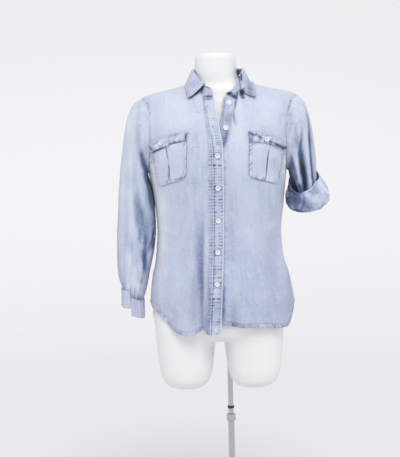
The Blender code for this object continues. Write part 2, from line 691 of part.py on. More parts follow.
def turn_up(angle, share):
    """The turned-up sleeve end: the side away from the sleeve, starting at the sleeve's end."""
    short_sleeve = sleeve(SHORT_SLEEVE, SHORT_SLEEVE_FOLDS, 1)

    def bare(angle, share):
        free = ring(TURN_UP, angle, share)
        end, before = short_sleeve(angle, 1.0 + 0 * share), short_sleeve(angle, 0.98 + 0 * share)
        inward = normals(short_sleeve, angle, 0.98 + 0 * share, step_b=0.004)
        start = end + unit(end - before) * 2 * SEAM_GAP - inward * ROLLED_CLOTH * 0.7
        weight = 1 - smoothstep(share / TURN_UP_BLEND)
        return free + (start - ring(TURN_UP, angle, 0 * share)) * weight[..., None]

    outward = normals(bare, angle, share, step_b=0.004)
    return bare(angle, share) - outward * sleeve_folds(TURN_UP_FOLDS, angle, share)[..., None]


def cuff_slit_drop(angle):
    """How far the cuff and the sleeve's end hang down, going round from the slit."""
    turned = (np.degrees(angle) - CUFF_SLIT_ANGLE) % 360.0 / 360.0
    return CUFF_DROP * (1 - turned)


# ---- solids ----
def add_object(name, points, faces, material):
    """A closed mesh object, its faces turned outwards."""
    mesh = bpy.data.meshes.new(name)
    mesh.from_pydata([tuple(map(float, p)) for p in points], [], faces)
    shape = bmesh.new()
    shape.from_mesh(mesh)
    bmesh.ops.recalc_face_normals(shape, faces=shape.faces)
    shape.to_mesh(mesh)
    shape.free()
    mesh.shade_smooth()
    mesh.set_sharp_from_angle(angle=np.radians(50))
    mesh.materials.append(paint(material))
    obj = bpy.data.objects.new(name, mesh)
    bpy.context.scene.collection.objects.link(obj)
    return obj


def paint(material):
    name, colour, roughness, metallic = material
    found = bpy.data.materials.get(name)
    if found:
        return found
    made = bpy.data.materials.new(name)
    made.use_nodes = True
    shader = made.node_tree.nodes["Principled BSDF"]
    shader.inputs["Base Color"].default_value = colour
    shader.inputs["Roughness"].default_value = roughness
    shader.inputs["Metallic"].default_value = metallic
    return made


def wall(name, outer, inner, material, closed=False):
    """The solid between two grids of points. closed joins the first and last lines across."""
    across, along = outer.shape[:2]
    points = np.concatenate([outer.reshape(-1, 3), inner.reshape(-1, 3)])
    spans = across if closed else across - 1

    def corner(layer, i, j):
        return layer * across * along + (i % across) * along + j

    faces = []
    for i in range(spans):
        for j in range(along - 1):
            square = ((i, j), (i + 1, j), (i + 1, j + 1), (i, j + 1))
            a, b, c, d = (outer[p % across, q] for p, q in square)
            halves = ((0, 1, 2), (0, 2, 3)) if np.linalg.norm(a - c) < np.linalg.norm(b - d) else ((0, 1, 3), (1, 2, 3))
            for half in halves:
                faces.append([corner(0, *square[k]) for k in half])
                faces.append([corner(1, *square[k]) for k in half[::-1]])
        for j in (0, along - 1):
            faces.append([corner(0, i, j), corner(0, i + 1, j), corner(1, i + 1, j), corner(1, i, j)])
    for i in () if closed else (0, across - 1):
        for j in range(along - 1):
            faces.append([corner(0, i, j), corner(0, i, j + 1), corner(1, i, j + 1), corner(1, i, j)])
    return add_object(name, points, faces, material)


def body_wall(name, theta, level, out, thick, material):
    """Cloth on the body's surface, its outer side lifted by out."""
    at, up = body(theta, level), normals(body, theta, level)
    out = np.broadcast_to(out, theta.shape)[..., None]
    return wall(name, at + up * out, at + up * (out - thick), material)


def left_front_sink(theta, level):
    """How far the left front lies below the body's surface beside and under the right front."""
    x = bare_body(theta, level)[..., 0]
    return FRONT_STEP * (1 - smoothstep((x - 0.030) / 0.035)) * (1 - smoothstep((level - 1.215) / 0.060))


def build_fronts():
    """The two fronts, each with a button band made from the panel's own points moved out."""
    for side_name, side, edge, hem in (
        ("right", -1, RIGHT_FRONT_EDGE, RIGHT_HEM),
        ("left", 1, LEFT_FRONT_EDGE, LEFT_HEM),
    ):
        theta, level = front_region(side, edge, hem, 10)
        sink = left_front_sink(theta, level) if side > 0 else 0 * theta
        body_wall(f"front_{side_name}", theta, level, -sink, CLOTH, DENIM)
        theta, level, sink = theta[:3], level[:3], sink[:3]
        body_wall(f"band_{side_name}", theta, level, SEAM_GAP + CLOTH - sink, CLOTH, DENIM_SEAM)


def build_back():
    theta, level = back_region(20, 10)
    body_wall("back", theta, level, 0.0, CLOTH, DENIM)


def quad(corners, u, v):
    """A point inside four corners given in order, u along the first side, v down."""
    (ax, az), (bx, bz), (cx, cz), (dx, dz) = corners
    x = (1 - v) * ((1 - u) * ax + u * bx) + v * ((1 - u) * dx + u * cx)
    z = (1 - v) * ((1 - u) * az + u * bz) + v * ((1 - u) * dz + u * cz)
    return x, z


def flap_surface(shapes, u, v):
    """The flap's outer side, its lower edge standing out in a shallow wave."""
    x, z = quad(shapes["flap"], u, v)
    z = z + shapes["bow"] * 4 * u * (1 - u)
    flare = shapes["flare"] * v * (1 + 0.8 * np.sin(2 * np.pi * (1.6 * u + 0.1)))
    return theta_at(x, z), z, POCKET_GAP + 2 * CLOTH + 2 * SEAM_GAP + flare


def build_pockets():
    for side, shapes in POCKETS.items():
        u, v = grid(8, 8)
        corner = np.clip((v - 1 + POCKET_CORNER) / POCKET_CORNER, 0, 1)
        inset = 0.12 * (1 - np.sqrt(1 - 0.98 * corner**2))
        x, z = quad(shapes["pocket"], inset + (1 - 2 * inset) * u, v)
        body_wall(f"pocket_{side}", theta_at(x, z), z, POCKET_GAP + CLOTH, CLOTH, DENIM)
        u, v = grid(8, 2)
        theta, level, out = flap_surface(shapes, u, v)
        body_wall(f"pocket_flap_{side}", theta, level, out, CLOTH, DENIM_SEAM)


# The solids of the sleeves: the shares of the sleeve that each one takes, and its rings. The
# long sleeve is one tube of cloth, cut into four solids so that collision can follow it.
SLEEVE_SOLIDS = (
    ("sleeve_right_cap", LONG_SLEEVE, LONG_SLEEVE_FOLDS, -1, 0.0, 0.1700, 4),
    ("sleeve_right_top", LONG_SLEEVE, LONG_SLEEVE_FOLDS, -1, 0.1706, 0.3370, 3),
    ("sleeve_right_elbow", LONG_SLEEVE, LONG_SLEEVE_FOLDS, -1, 0.3376, 0.6270, 5),
    ("sleeve_right_end", LONG_SLEEVE, LONG_SLEEVE_FOLDS, -1, 0.6276, 1.0, 6),
    ("sleeve_left", SHORT_SLEEVE, SHORT_SLEEVE_FOLDS, 1, 0.0, 1.0, 12),
)


def build_sleeves():
    around = 2 * ARMHOLE_STEPS
    for name, rows, folds, side, first, last, rings in SLEEVE_SOLIDS:
        surface = sleeve(rows, folds, side)
        bunched = 1.15 if first == 0.0 else 1.0
        angle, share = np.meshgrid(
            np.arange(around) * 2 * np.pi / around, np.linspace(0, 1, rings + 1) ** bunched, indexing="ij"
        )
        share = first + (last - first) * share
        outer = surface(angle, share)
        inward = -side * normals(surface, angle, np.clip(share, 0.006, 0.994), step_b=0.004)
        if side < 0:
            drop = cuff_slit_drop(angle) * smoothstep((share - 0.86) / 0.14)
            outer = outer - vectors(0.0, 0.0, drop)
        wall(name, outer, outer + inward * CLOTH, DENIM, closed=True)


def build_turn_up():
    around, rings = 2 * ARMHOLE_STEPS, 8
    angle, share = np.meshgrid(
        np.arange(around) * 2 * np.pi / around, np.linspace(0, 1, rings + 1), indexing="ij"
    )
    outer = turn_up(angle, share)
    inward = -normals(turn_up, angle, np.clip(share, 0.006, 0.994), step_b=0.004)
    wall("sleeve_left_turn_up", outer, outer + inward * ROLLED_CLOTH, DENIM, closed=True)


def cuff_surface(angle, down):
    """The cuff's outer side at an angle round it, from its top (0) to its lower edge (1)."""
    end = sleeve(LONG_SLEEVE, LONG_SLEEVE_FOLDS, -1)(angle, 1.0 + 0 * angle)
    middle = ring(LONG_SLEEVE, np.radians(np.array([0.0, 180.0])), np.ones(2)).mean(axis=0)
    outwards = unit(vectors(end[..., 0] - middle[0], end[..., 1] - middle[1], 0.0))
    spread = DOUBLE_CLOTH + 2 * SEAM_GAP + 0.0008 * down
    fall = cuff_slit_drop(angle) - CUFF_OVERLAP + CUFF_HEIGHT * down
    return end + outwards * spread[..., None] - vectors(0.0, 0.0, fall)


def build_cuff():
    step = 360.0 / (2 * ARMHOLE_STEPS)
    stations = np.concatenate([[CUFF_SLIT_ANGLE + 1.0], 90 + step * np.arange(24), [CUFF_SLIT_ANGLE + 359.0]])
    angle, down = np.meshgrid(np.radians(stations), np.linspace(0, 1, 4), indexing="ij")
    outer = cuff_surface(angle, down)
    outwards = normals(cuff_surface, angle, down, step_a=0.01, step_b=0.01)
    wall("cuff_right", outer, outer - outwards * DOUBLE_CLOTH, DENIM_SEAM)


def stand_surface(share, up):
    """The collar stand's outer side."""
    plan = np.radians(STAND_START - (360.0 + STAND_START - STAND_END) * share)
    base = bare_body(*neckline((plan + np.pi) % (2 * np.pi) - np.pi))
    outwards = unit(vectors(base[..., 0] - NECK_CENTRE_X, base[..., 1], 0.0))
    height = 2 * SEAM_GAP + column(STAND, "height", share) * up
    return base - outwards * (2 * SEAM_GAP + column(STAND, "lean", share) * up)[..., None] + vectors(0.0, 0.0, height)


def collar_surface(share, down):
    """The collar's upper side, from inside the stand's top (0), over the turn, to its edge (1)."""
    turn = 0.35          # share of the leaf that goes into the turn over the stand
    whole = 360.0 + STAND_START - STAND_END
    first, last = (STAND_START - COLLAR_START) / whole, (360.0 + STAND_START - COLLAR_END) / whole
    top = stand_surface(first + (last - first) * share, np.ones(np.shape(share)))
    outwards = unit(vectors(top[..., 0] - NECK_CENTRE_X, top[..., 1], 0.0))
    step = np.clip(down / turn, 0, 1) * COLLAR_TURN["step"][-1]
    over = top + outwards * column(COLLAR_TURN, "out", step)[..., None]
    over = over + vectors(0.0, 0.0, column(COLLAR_TURN, "up", step))
    fall = np.clip((down - turn) / (1 - turn), 0, 1)[..., None]
    edge = vectors(*(column(COLLAR, f"edge_{axis}", share) for axis in "xyz"))
    sway = vectors(column(COLLAR, "sway_x", share), 0.0, column(COLLAR, "sway_z", share))
    leaf = over + (edge - over) * fall + (sway + outwards * 0.0012) * np.sin(np.pi * fall)
    return np.where(fall > 0, lift_off(leaf, DOUBLE_CLOTH + 0.0010), over)


def build_collar():
    share = np.concatenate([[0, 0.008, 0.02, 0.05], np.linspace(0.09, 0.90, 20), [0.925, 0.95, 0.975, 1]])
    u, v = np.meshgrid(share, np.linspace(0, 1, 3), indexing="ij")
    outer = stand_surface(u, v)
    outwards = unit(vectors(outer[..., 0] - NECK_CENTRE_X, outer[..., 1], 0.0))
    wall("collar_stand", outer, outer - outwards * DOUBLE_CLOTH, DENIM)

    down = np.concatenate([np.linspace(0, 0.35, 5), [0.50, 0.66, 0.83, 1.0]])
    u, v = np.meshgrid(np.linspace(0, 1, 22), down, indexing="ij")
    outer = collar_surface(u, v)
    outwards = normals(collar_surface, u, v, step_a=-0.003, step_b=0.01)
    wall("collar", outer, outer - outwards * DOUBLE_CLOTH, DENIM)


def build_buttons():
    for i, (x, z) in enumerate(LEFT_BAND_BUTTONS + RIGHT_BAND_BUTTONS):
        level = np.array(z)
        theta = theta_at(x, level)
        lift = CLOTH + 3 * SEAM_GAP
        if i < len(LEFT_BAND_BUTTONS):
            lift = lift - left_front_sink(theta, level)
        facing = normals(body, theta, level)
        add_button(f"button_{i + 1}", body(theta, level) + facing * lift, facing)
    for side, shapes in POCKETS.items():
        theta, level, out = flap_surface(shapes, *map(np.array, shapes["button"]))
        facing = normals(body, theta, level)
        add_button(f"pocket_button_{side}", body(theta, level) + facing * (out + 2 * SEAM_GAP), facing)


BUTTON_PROFILE = table(
    "radius height",
    (0.0, 0.40),
    (0.60, 0.40),
    (0.82, 1.00),
    (1.00, 0.50),
    (0.94, 0.00),
)


def add_button(name, at, facing):
    """A turned button whose back is at the point given: a dished disc with a raised rim."""
    sides = 10
    side = unit(np.cross(facing, (0.0, 0.0, 1.0)))
    up = np.cross(side, facing)
    turn = np.arange(sides) * 2 * np.pi / sides
    circle = np.cos(turn)[:, None] * side + np.sin(turn)[:, None] * up
    radii, heights = BUTTON_PROFILE["radius"][1:], BUTTON_PROFILE["height"][1:]
    points = [at + facing * BUTTON_THICK * BUTTON_PROFILE["height"][0]]
    for radius, height in zip(radii, heights):
        points.extend(at + circle * BUTTON_RADIUS * radius + facing * BUTTON_THICK * height)
    points.append(at)
    faces = []
    for i in range(sides):
        j = (i + 1) % sides
        faces.append([0, 1 + i, 1 + j])
        for k in range(len(radii) - 1):
            faces.append([1 + k * sides + i, 1 + k * sides + j, 1 + (k + 1) * sides + j, 1 + (k + 1) * sides + i])
        last = 1 + (len(radii) - 1) * sides
        faces.append([last + i, last + j, len(points) - 1])
    add_object(name, points, [f[::-1] for f in faces], PEARL)


def add_loft(name, rings, material):
    """A closed body through rings of points, with flat ends."""
    count, around = rings.shape[:2]
    faces = [list(range(around))[::-1], [(count - 1) * around + i for i in range(around)]]
    for k in range(count - 1):
        for i in range(around):
            j = (i + 1) % around
            faces.append([k * around + i, k * around + j, (k + 1) * around + j, (k + 1) * around + i])
    return add_object(name, rings.reshape(-1, 3), faces, material)


def join_into(target, others):
    """Unites other closed bodies into target."""
    for other in others:
        cut = target.modifiers.new(other.name, "BOOLEAN")
        cut.operation = "UNION"
        cut.solver = "EXACT"
        cut.object = other
        other.hide_render = True
        other.display_type = "WIRE"


def build_form():
    around = 24
    turn = np.arange(around) * 2 * np.pi / around
    level, angle = np.meshgrid(FORM_RINGS, turn, indexing="ij")
    facing = np.cos(angle)
    depth = np.where(facing > 0, column(FORM, "front", level), column(FORM, "back", level))
    x = column(FORM, "centre_x", level) + column(FORM, "half_width", level) * signed_power(np.sin(angle), ROUNDNESS)
    rings = vectors(x, -depth * signed_power(facing, ROUNDNESS), column(FORM, "z", level))
    form = add_loft("display_form", rings, FORM_WHITE)
    stubs = []
    for i, centre in enumerate(STUB_CENTRES_X):
        z, angle = np.meshgrid(STUB["z"], np.arange(18) * 2 * np.pi / 18, indexing="ij")
        x = centre + column(STUB, "radius_x", z) * signed_power(np.sin(angle), ROUNDNESS)
        y = 0.003 - column(STUB, "radius_y", z) * signed_power(np.cos(angle), ROUNDNESS)
        stubs.append(add_loft(f"stub_{i}", vectors(x, y, z), FORM_WHITE))
    stubs.append(cylinder("socket", 0.014, SOCKET_Z, 0.72, FORM_WHITE))
    join_into(form, stubs)


SOCKET_Z = 0.630
COLLAR_Z = 0.414         # top clamp of the stand's outer tube
RING_Z = 0.449


def cylinder(name, radius, low, high, material, sides=20, bevel=0.0):
    """An upright round bar on the stand's axis."""
    rows = [(radius, low), (radius, high)]
    if bevel:
        rows = [(radius - bevel, low), (radius, low + bevel), (radius, high - bevel), (radius - bevel, high)]
    turn = np.arange(sides) * 2 * np.pi / sides
    rings = [vectors(POLE_X + r * np.cos(turn), POLE_Y + r * np.sin(turn), z) for r, z in rows]
    return add_loft(name, np.array(rings), material)


def build_stand():
    gap = SEAM_GAP
    cylinder("stand_base", BASE_RADIUS, 0.0, BASE_THICK, STAND_METAL, sides=40, bevel=0.002)
    cylinder("stand_foot", 0.019, BASE_THICK + gap, 0.040, STAND_METAL, sides=24, bevel=0.002)
    cylinder("stand_outer_tube", 0.0085, 0.040 + gap, COLLAR_Z - gap, STAND_METAL)
    cylinder("stand_clamp", 0.0125, COLLAR_Z, COLLAR_Z + 0.020, STAND_METAL, bevel=0.002)
    cylinder("stand_ring", 0.0090, RING_Z, RING_Z + 0.007, STAND_BLACK, bevel=0.001)
    cylinder("stand_lower_sleeve", 0.0072, COLLAR_Z + 0.020 + gap, RING_Z - gap, STAND_METAL)
    cylinder("stand_inner_tube", 0.0070, RING_Z + 0.007 + gap, SOCKET_Z - gap, STAND_METAL)


def main():
    for obj in list(bpy.data.objects):
        bpy.data.objects.remove(obj)
    build_fronts()
    build_back()
    build_pockets()
    build_sleeves()
    build_turn_up()
    build_cuff()
    build_collar()
    build_buttons()
    build_form()
    build_stand()


main()
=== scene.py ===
"""Looks of a denim shirt worn by a limbless display form on its pole stand.

The frame is the part's own: metres, +Z up, the front faces -Y, +X is the wearer's left. The
shirt's surfaces are the ones that the part's solids are cut from, at a finer step: the body is
given by an angle round the form and a level, each sleeve by an angle round it and a share of
its length. Creases, puckers, hems and stitches are pressed into these surfaces here.
"""

import bmesh
import bpy
import numpy as np
from mathutils import Matrix, Vector


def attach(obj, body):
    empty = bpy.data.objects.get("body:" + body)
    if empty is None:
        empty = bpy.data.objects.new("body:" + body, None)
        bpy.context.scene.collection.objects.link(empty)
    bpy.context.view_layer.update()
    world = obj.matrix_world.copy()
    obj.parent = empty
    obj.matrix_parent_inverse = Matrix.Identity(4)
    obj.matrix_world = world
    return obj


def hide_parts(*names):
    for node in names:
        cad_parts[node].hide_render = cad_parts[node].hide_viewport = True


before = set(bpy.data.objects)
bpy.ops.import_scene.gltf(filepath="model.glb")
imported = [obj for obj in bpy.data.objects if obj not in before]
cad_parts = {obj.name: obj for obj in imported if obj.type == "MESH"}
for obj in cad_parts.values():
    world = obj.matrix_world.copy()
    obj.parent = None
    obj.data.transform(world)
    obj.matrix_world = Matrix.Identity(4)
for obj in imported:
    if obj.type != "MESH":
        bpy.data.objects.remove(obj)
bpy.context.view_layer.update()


# ---- the part's own sizes, in metres; angles are in radians unless a name or comment says ----
CLOTH = 0.0012
DOUBLE_CLOTH = 0.0018
ROLLED_CLOTH = 0.0026
SEAM_GAP = 0.0003
POCKET_GAP = 0.0007
ARMHOLE_GAP = 0.0007
FRONT_STEP = 0.0040
ARMPIT_Z = 1.0985
SHOULDER_TIP_Z = 1.2900
ARMHOLE_FRONT = 0.056
ARMHOLE_BACK = 0.052
NECK_CENTRE_X = 0.0095
NECK_HALF_WIDTH = 0.0715
NECK_FRONT = 0.0755
NECK_BACK = 0.0660
ROUNDNESS = 0.87
BAND_WIDTH = 0.0290
BUTTON_RADIUS = 0.0068
BUTTON_THICK = 0.0027


# ---- sizes of what is added here ----
SHELL = 0.0010           # thickness of the cloth that is shown
STITCH = 0.0026          # length of a stitch, and the gap to the next one
STITCH_GAP = 0.0009
THREAD = 0.00035         # radius of the sewing thread
BODY_RADIUS = 0.165      # turns the body's angle into a place along its cloth
SHARP_ANGLE = np.radians(55)            # edges sharper than this stay sharp in the shading
MM = 0.001               # the sizes of puckers and bars are given in millimetres
FORM_CLEARANCE = 0.0012  # how far the form is drawn in where the shirt rests on it
POLE_X, POLE_Y = 0.0243, 0.085
SOCKET_RADIUS, SOCKET_LOW_Z, SOCKET_HIGH_Z = 0.014, 0.630, 0.72   # where the pole enters the form
STAND_SLOTS = {
    "stand_base": "stand_metal",
    "stand_foot": "stand_metal",
    "stand_outer_tube": "stand_metal",
    "stand_clamp": "stand_metal",
    "stand_ring": "stand_rubber",
    "stand_lower_sleeve": "stand_metal",
    "stand_inner_tube": "stand_metal",
}


def table(columns, *rows):
    """Named columns from rows of numbers. Those after a bar are lengths given in millimetres."""
    plain, _, lengths = columns.partition("|")
    units = [1.0] * len(plain.split()) + [1000.0] * len(lengths.split())
    names = (plain + lengths).split()
    return {name: np.array(values) / unit for name, values, unit in zip(names, zip(*rows), units)}


# One row for each level of the shirt's body. level is the height up to the armholes and then
# runs on over the shoulder, so that rows stay apart there. front and back are its depth.
BODY = table(
    "| level z half_width centre_x front back",
    (640, 640, 191, 4, 125, 124),
    (755, 755, 188.5, 6.5, 123, 122),
    (820, 820, 180, 4.5, 118, 115),
    (880, 880, 166, 2.5, 113, 105),
    (946, 946, 161, 3, 112, 98),
    (1010, 1010, 166.5, 4.5, 117, 99),
    (1060, 1060, 172.5, 4, 124, 103),
    (1100, 1100, 178.5, 2.5, 129, 106),
    (1150, 1150, 184, 3.5, 131, 108),
    (1200, 1200, 188, 5.5, 123, 108),
    (1245, 1245, 193.5, 8, 104, 103),
    (1275, 1274.5, 197.5, 10, 84, 95),
    (1292, 1290, 198.5, 10.5, 71.5, 88),
    (1312, 1298.5, 183, 10, 65.5, 83),
    (1340, 1305.5, 155, 10, 61.5, 78),
    (1372, 1312, 124, 10, 59, 73),
    (1401, 1319, 96, 9.5, 56, 69),
    (1424, 1327, 74, 9.5, 53, 65),
    (1446, 1340, 56, 9.5, 48, 59),
)

# Folds of the body: a ridge (+) or trough (-) that runs from (x_low, z_low) to (x_high, z_high).
BODY_FOLDS_FRONT = table(
    "| x_low z_low x_high z_high width depth",
    (-42, 600, -40, 1020, 9.5, -8.5),
    (-88, 600, -70, 960, 30, 7),
    (-20, 600, -18, 900, 17, 4),
    (33, 620, 30, 860, 14, -3.5),
    (115, 600, 95, 940, 32, 4.5),
    (-52, 1100, -60, 1270, 9, -2.5),
    (70, 1080, 62, 1240, 13, 2.2),
)
BODY_FOLDS_BACK = table(
    "| x_low z_low x_high z_high width depth",
    (-110, 580, -80, 1000, 24, 6),
    (-60, 580, -48, 1080, 16, -6.5),
    (-5, 580, 2, 1020, 24, 5.5),
    (50, 580, 42, 1090, 15, -6),
    (108, 580, 85, 990, 26, 6),
)

HEM_TOP_Z = 0.770        # folds that start below this run off the hem

# The hems, seen from the front: height against x. The back hem is a plain curved tail.
RIGHT_HEM = table(
    "| x z",
    (-187, 766),
    (-181.1, 759.8),
    (-174.4, 750),
    (-157.2, 738.5),
    (-142, 727),
    (-126.4, 707),
    (-108.4, 694),
    (-87, 689.5),
    (-70.4, 691),
    (-53.9, 701),
    (-46.6, 703.5),
    (-40, 696),
    (-29.1, 690.5),
    (4, 696.5),
)
LEFT_HEM = table(
    "| x z",
    (-30, 716),
    (4, 715.8),
    (32.6, 710),
    (56, 706.2),
    (79.5, 706.8),
    (116, 705.5),
    (153.7, 698.5),
    (170, 699),
    (180.1, 712.4),
    (187.3, 732.5),
    (193.4, 755),
    (196, 760),
)
BACK_HEM = table(
    "| x z",
    (-187, 766),
    (-160, 735),
    (-120, 695),
    (-60, 680),
    (0, 678),
    (70, 680),
    (125, 690),
    (168, 725),
    (196, 760),
)

# The free edge of each front: x against level. The right front lies on top.
RIGHT_FRONT_EDGE = table(
    "| level x",
    (690, 0),
    (730, 1.5),
    (820, 7),
    (900, 11),
    (980, 13.5),
    (1060, 15),
    (1155, 15.5),
    (1213, 7.5),
    (1250, 2),
    (1292, -4),
)
LEFT_FRONT_EDGE = table(
    "| level x",
    (690, -27),
    (820, -19),
    (900, -15),
    (980, -13.5),
    (1060, -13),
    (1120, -13),
    (1155, -11),
    (1190, 1),
    (1220, 8.5),
    (1250, 14),
    (1292, 20),
)

# One row for each ring of a sleeve, as seen from the front: its outer and its inner point,
# how far it reaches to the front and to the back, and how much lower its front hangs.
LONG_SLEEVE = table(
    "share | outer_x outer_z inner_x inner_z front back sag",
    (0, -188, 1290, -176, 1098.5, 56, 52, 0),
    (0.06, -206, 1280, -179.5, 1096.5, 58, 55, 0),
    (0.12, -220, 1260, -179.5, 1091.5, 60, 57, 0),
    (0.2, -232, 1225, -175, 1078, 61, 58, 0),
    (0.32, -242.5, 1160, -169.2, 1050, 60, 58, 0),
    (0.44, -253, 1080, -163.4, 1005, 58, 56, 0),
    (0.56, -260, 995, -161.5, 960, 56, 54, 0),
    (0.68, -265, 920, -166.8, 905, 53, 52, 0),
    (0.8, -266, 865, -179, 852, 49, 48, 0),
    (0.91, -262.5, 828, -188, 812, 43, 43, 0),
    (1, -254, 801, -202, 779, 35, 35, 0),
)
SHORT_SLEEVE = table(
    "share | outer_x outer_z inner_x inner_z front back sag",
    (0, 208.5, 1290, 181.2, 1098.5, 56, 52, 0),
    (0.12, 225, 1278, 184.5, 1097, 58, 55, 0),
    (0.26, 237, 1253, 186.5, 1094, 60, 57, 2),
    (0.44, 247.5, 1212, 188, 1086, 59, 57, 6),
    (0.62, 254.5, 1165, 190, 1074, 54, 53, 10),
    (0.8, 258.5, 1108, 194.5, 1056, 47, 46, 13),
    (1, 259, 1035, 204, 1026, 40, 39, 14),
)
# The turned-up end of the short sleeve, from the sleeve's own end, round the bottom and up
# the outside to its free rim.
TURN_UP = table(
    "share | outer_x outer_z inner_x inner_z front back sag",
    (0, 259, 1035, 204, 1026, 40, 39, 14),
    (0.12, 260, 1015, 200, 1009, 44, 43, 14),
    (0.24, 262, 1006, 192, 1002, 50, 49, 15),
    (0.37, 271, 1011, 183, 1008, 56, 56, 17),
    (0.52, 289.5, 1027.5, 181, 1019, 60, 60, 21),
    (0.68, 287.5, 1042, 183.5, 1033, 60.5, 61, 24),
    (0.84, 276, 1059, 187, 1048, 58.5, 60, 27),
    (1, 266, 1077, 190, 1062, 56, 58, 31),
)
TURN_UP_BLEND = 0.30     # share of the turn-up over which it leaves the sleeve's end

# Folds and creases of a sleeve: angles round it in degrees, shares of its length, width in degrees.
LONG_SLEEVE_FOLDS = table(
    "angle_start share_start angle_end share_end width | depth",
    (70, 0.1, 100, 1.1, 20, -6),
    (40, 0.18, 55, 1.05, 18, 3),
    (135, 0.16, 130, 0.98, 19, 4),
    (250, 0.1, 265, 1.1, 20, -5.5),
    (300, 0.2, 310, 1.05, 20, 3.5),
    (150, 0.1, 120, 0.34, 9, -3),
    (168, 0.14, 140, 0.3, 7, -2.6),
    (100, 0.14, 112, 0.62, 8, 2.2),
    (176, 0.5, 128, 0.58, 8, -3.2),
    (178, 0.6, 130, 0.64, 8, 2.8),
    (170, 0.64, 120, 0.73, 8, -2.6),
    (60, 0.55, 72, 0.8, 9, -1.4),
    (32, 0.72, 45, 1, 8, -2),
    (62, 0.86, 66, 1.08, 5, -2.4),
    (104, 0.86, 100, 1.08, 5, -2.2),
    (124, 0.85, 120, 1.08, 5, -2.4),
    (146, 0.87, 142, 1.08, 5, -2),
    (10, 0.88, 14, 1.08, 6, -1.8),
    (205, 0.86, 212, 1.08, 6, -2.2),
    (240, 0.87, 238, 1.08, 6, -1.8),
    (285, 0.86, 280, 1.08, 6, -2.2),
    (325, 0.88, 328, 1.08, 6, -1.8),
    (215, 0.52, 260, 0.6, 8, -2.8),
    (200, 0.62, 250, 0.7, 8, 2.2),
    (200, 0.12, 235, 0.34, 9, -2.4),
)
SHORT_SLEEVE_FOLDS = table(
    "angle_start share_start angle_end share_end width | depth",
    (100, 0.18, 90, 1.6, 19, -11),
    (30, 0.12, 48, 1.6, 17, -7.5),
    (155, 0.3, 140, 1.6, 19, -7),
    (235, 0.2, 250, 1.6, 19, -8.5),
    (300, 0.2, 305, 1.6, 19, -7),
    (78, 0.2, 106, 0.42, 7, -3.6),
    (106, 0.36, 92, 1.4, 7, -5.6),
    (72, 0.3, 68, 1.3, 8, 2.4),
    (46, 0.2, 56, 1.2, 5, -4),
    (132, 0.46, 118, 1.3, 7, -3.6),
    (168, 0.5, 150, 1.3, 8, -3),
    (20, 0.3, 28, 1.2, 9, -2.2),
    (222, 0.26, 236, 1.3, 8, -3.6),
    (270, 0.3, 262, 1.3, 8, 2),
    (318, 0.34, 310, 1.3, 8, -2.8),
)
TURN_UP_FOLDS = table(
    "angle_start share_start angle_end share_end width | depth",
    (92, 0.55, 86, 1.6, 20, 6),
    (40, 0.3, 52, 1.1, 20, -3),
    (130, 0.26, 125, 1.05, 20, -2.8),
    (245, 0.4, 250, 1.6, 20, 5),
    (150, 0.22, 118, 0.98, 7, 3.2),
    (128, 0.3, 142, 0.9, 6, -3),
    (96, 0.6, 78, 1.2, 7, 2.6),
    (62, 0.34, 74, 0.86, 8, 2.4),
    (40, 0.22, 30, 0.6, 6, 3.4),
    (18, 0.36, 26, 0.96, 7, 2.6),
    (52, 0.66, 40, 1.15, 8, -2.6),
    (350, 0.34, 342, 1, 8, 2.6),
    (172, 0.34, 190, 0.98, 8, 2.8),
    (222, 0.3, 208, 0.92, 7, -2.6),
    (250, 0.26, 262, 0.96, 8, 3),
    (300, 0.3, 292, 0.9, 8, -2.8),
)

# The cuff is a band open at the front; it runs from its upper end round the outside, back
# and inside to its lower end, which hangs lower.
CUFF_SLIT_ANGLE = 82.5
CUFF_HEIGHT = 0.047
CUFF_DROP = 0.0190
CUFF_OVERLAP = 0.0030    # how far the cuff covers the sleeve's end

# The collar stand runs from its right front end round the back to its left front end. lean is
# how far its top leans in towards the neck.
STAND_START, STAND_END = -14.2, 15.8   # plan angles of the two ends, in degrees
STAND = table(
    "share | height lean",
    (0, 13, 6),
    (0.008, 20.5, 6.2),
    (0.016, 24, 6.5),
    (0.05, 23, 7),
    (0.1, 21.5, 7.5),
    (0.2, 25, 7.5),
    (0.3, 28, 5),
    (0.5, 29, 3),
    (0.65, 28, 5),
    (0.8, 26.5, 8),
    (0.91, 21.5, 8),
    (0.947, 13, 7),
    (0.975, 10.5, 6),
    (1, 9, 6),
)
# The collar folds over the stand between these plan angles. One row for each station from the
# wearer's right point round the back to the left point: its free edge and how the leaf sways.
COLLAR_START, COLLAR_END = -33.5, 53.0
COLLAR = table(
    "share | edge_x edge_y edge_z sway_x sway_z",
    (0, -66.8, -78, 1283.6, 3, -4),
    (0.1, -72.5, -58, 1302, 0, 0),
    (0.2, -74.5, -18, 1320.5, 0, 0),
    (0.35, -64, 45, 1323.5, 0, 0),
    (0.5, -7, 80, 1316.5, 0, 0),
    (0.65, 60, 70, 1318.5, 0, 0),
    (0.8, 92, 22, 1323.5, 0, 0),
    (0.9, 94.5, -22, 1317.5, -2, -2),
    (1, 102, -78, 1282.3, -15, -15),
)
TURN_SHARE = 0.35        # share of the leaf that goes into the turn over the stand
# Section of the turn over the stand: how far out and up from the top of the stand.
COLLAR_TURN = table(
    "step | out up",
    (0, -2, 0.9),
    (1, -2, 2.6),
    (2, -0.3, 5.5),
    (3, 3.3, 5.5),
    (4, 5, 2.5),
)

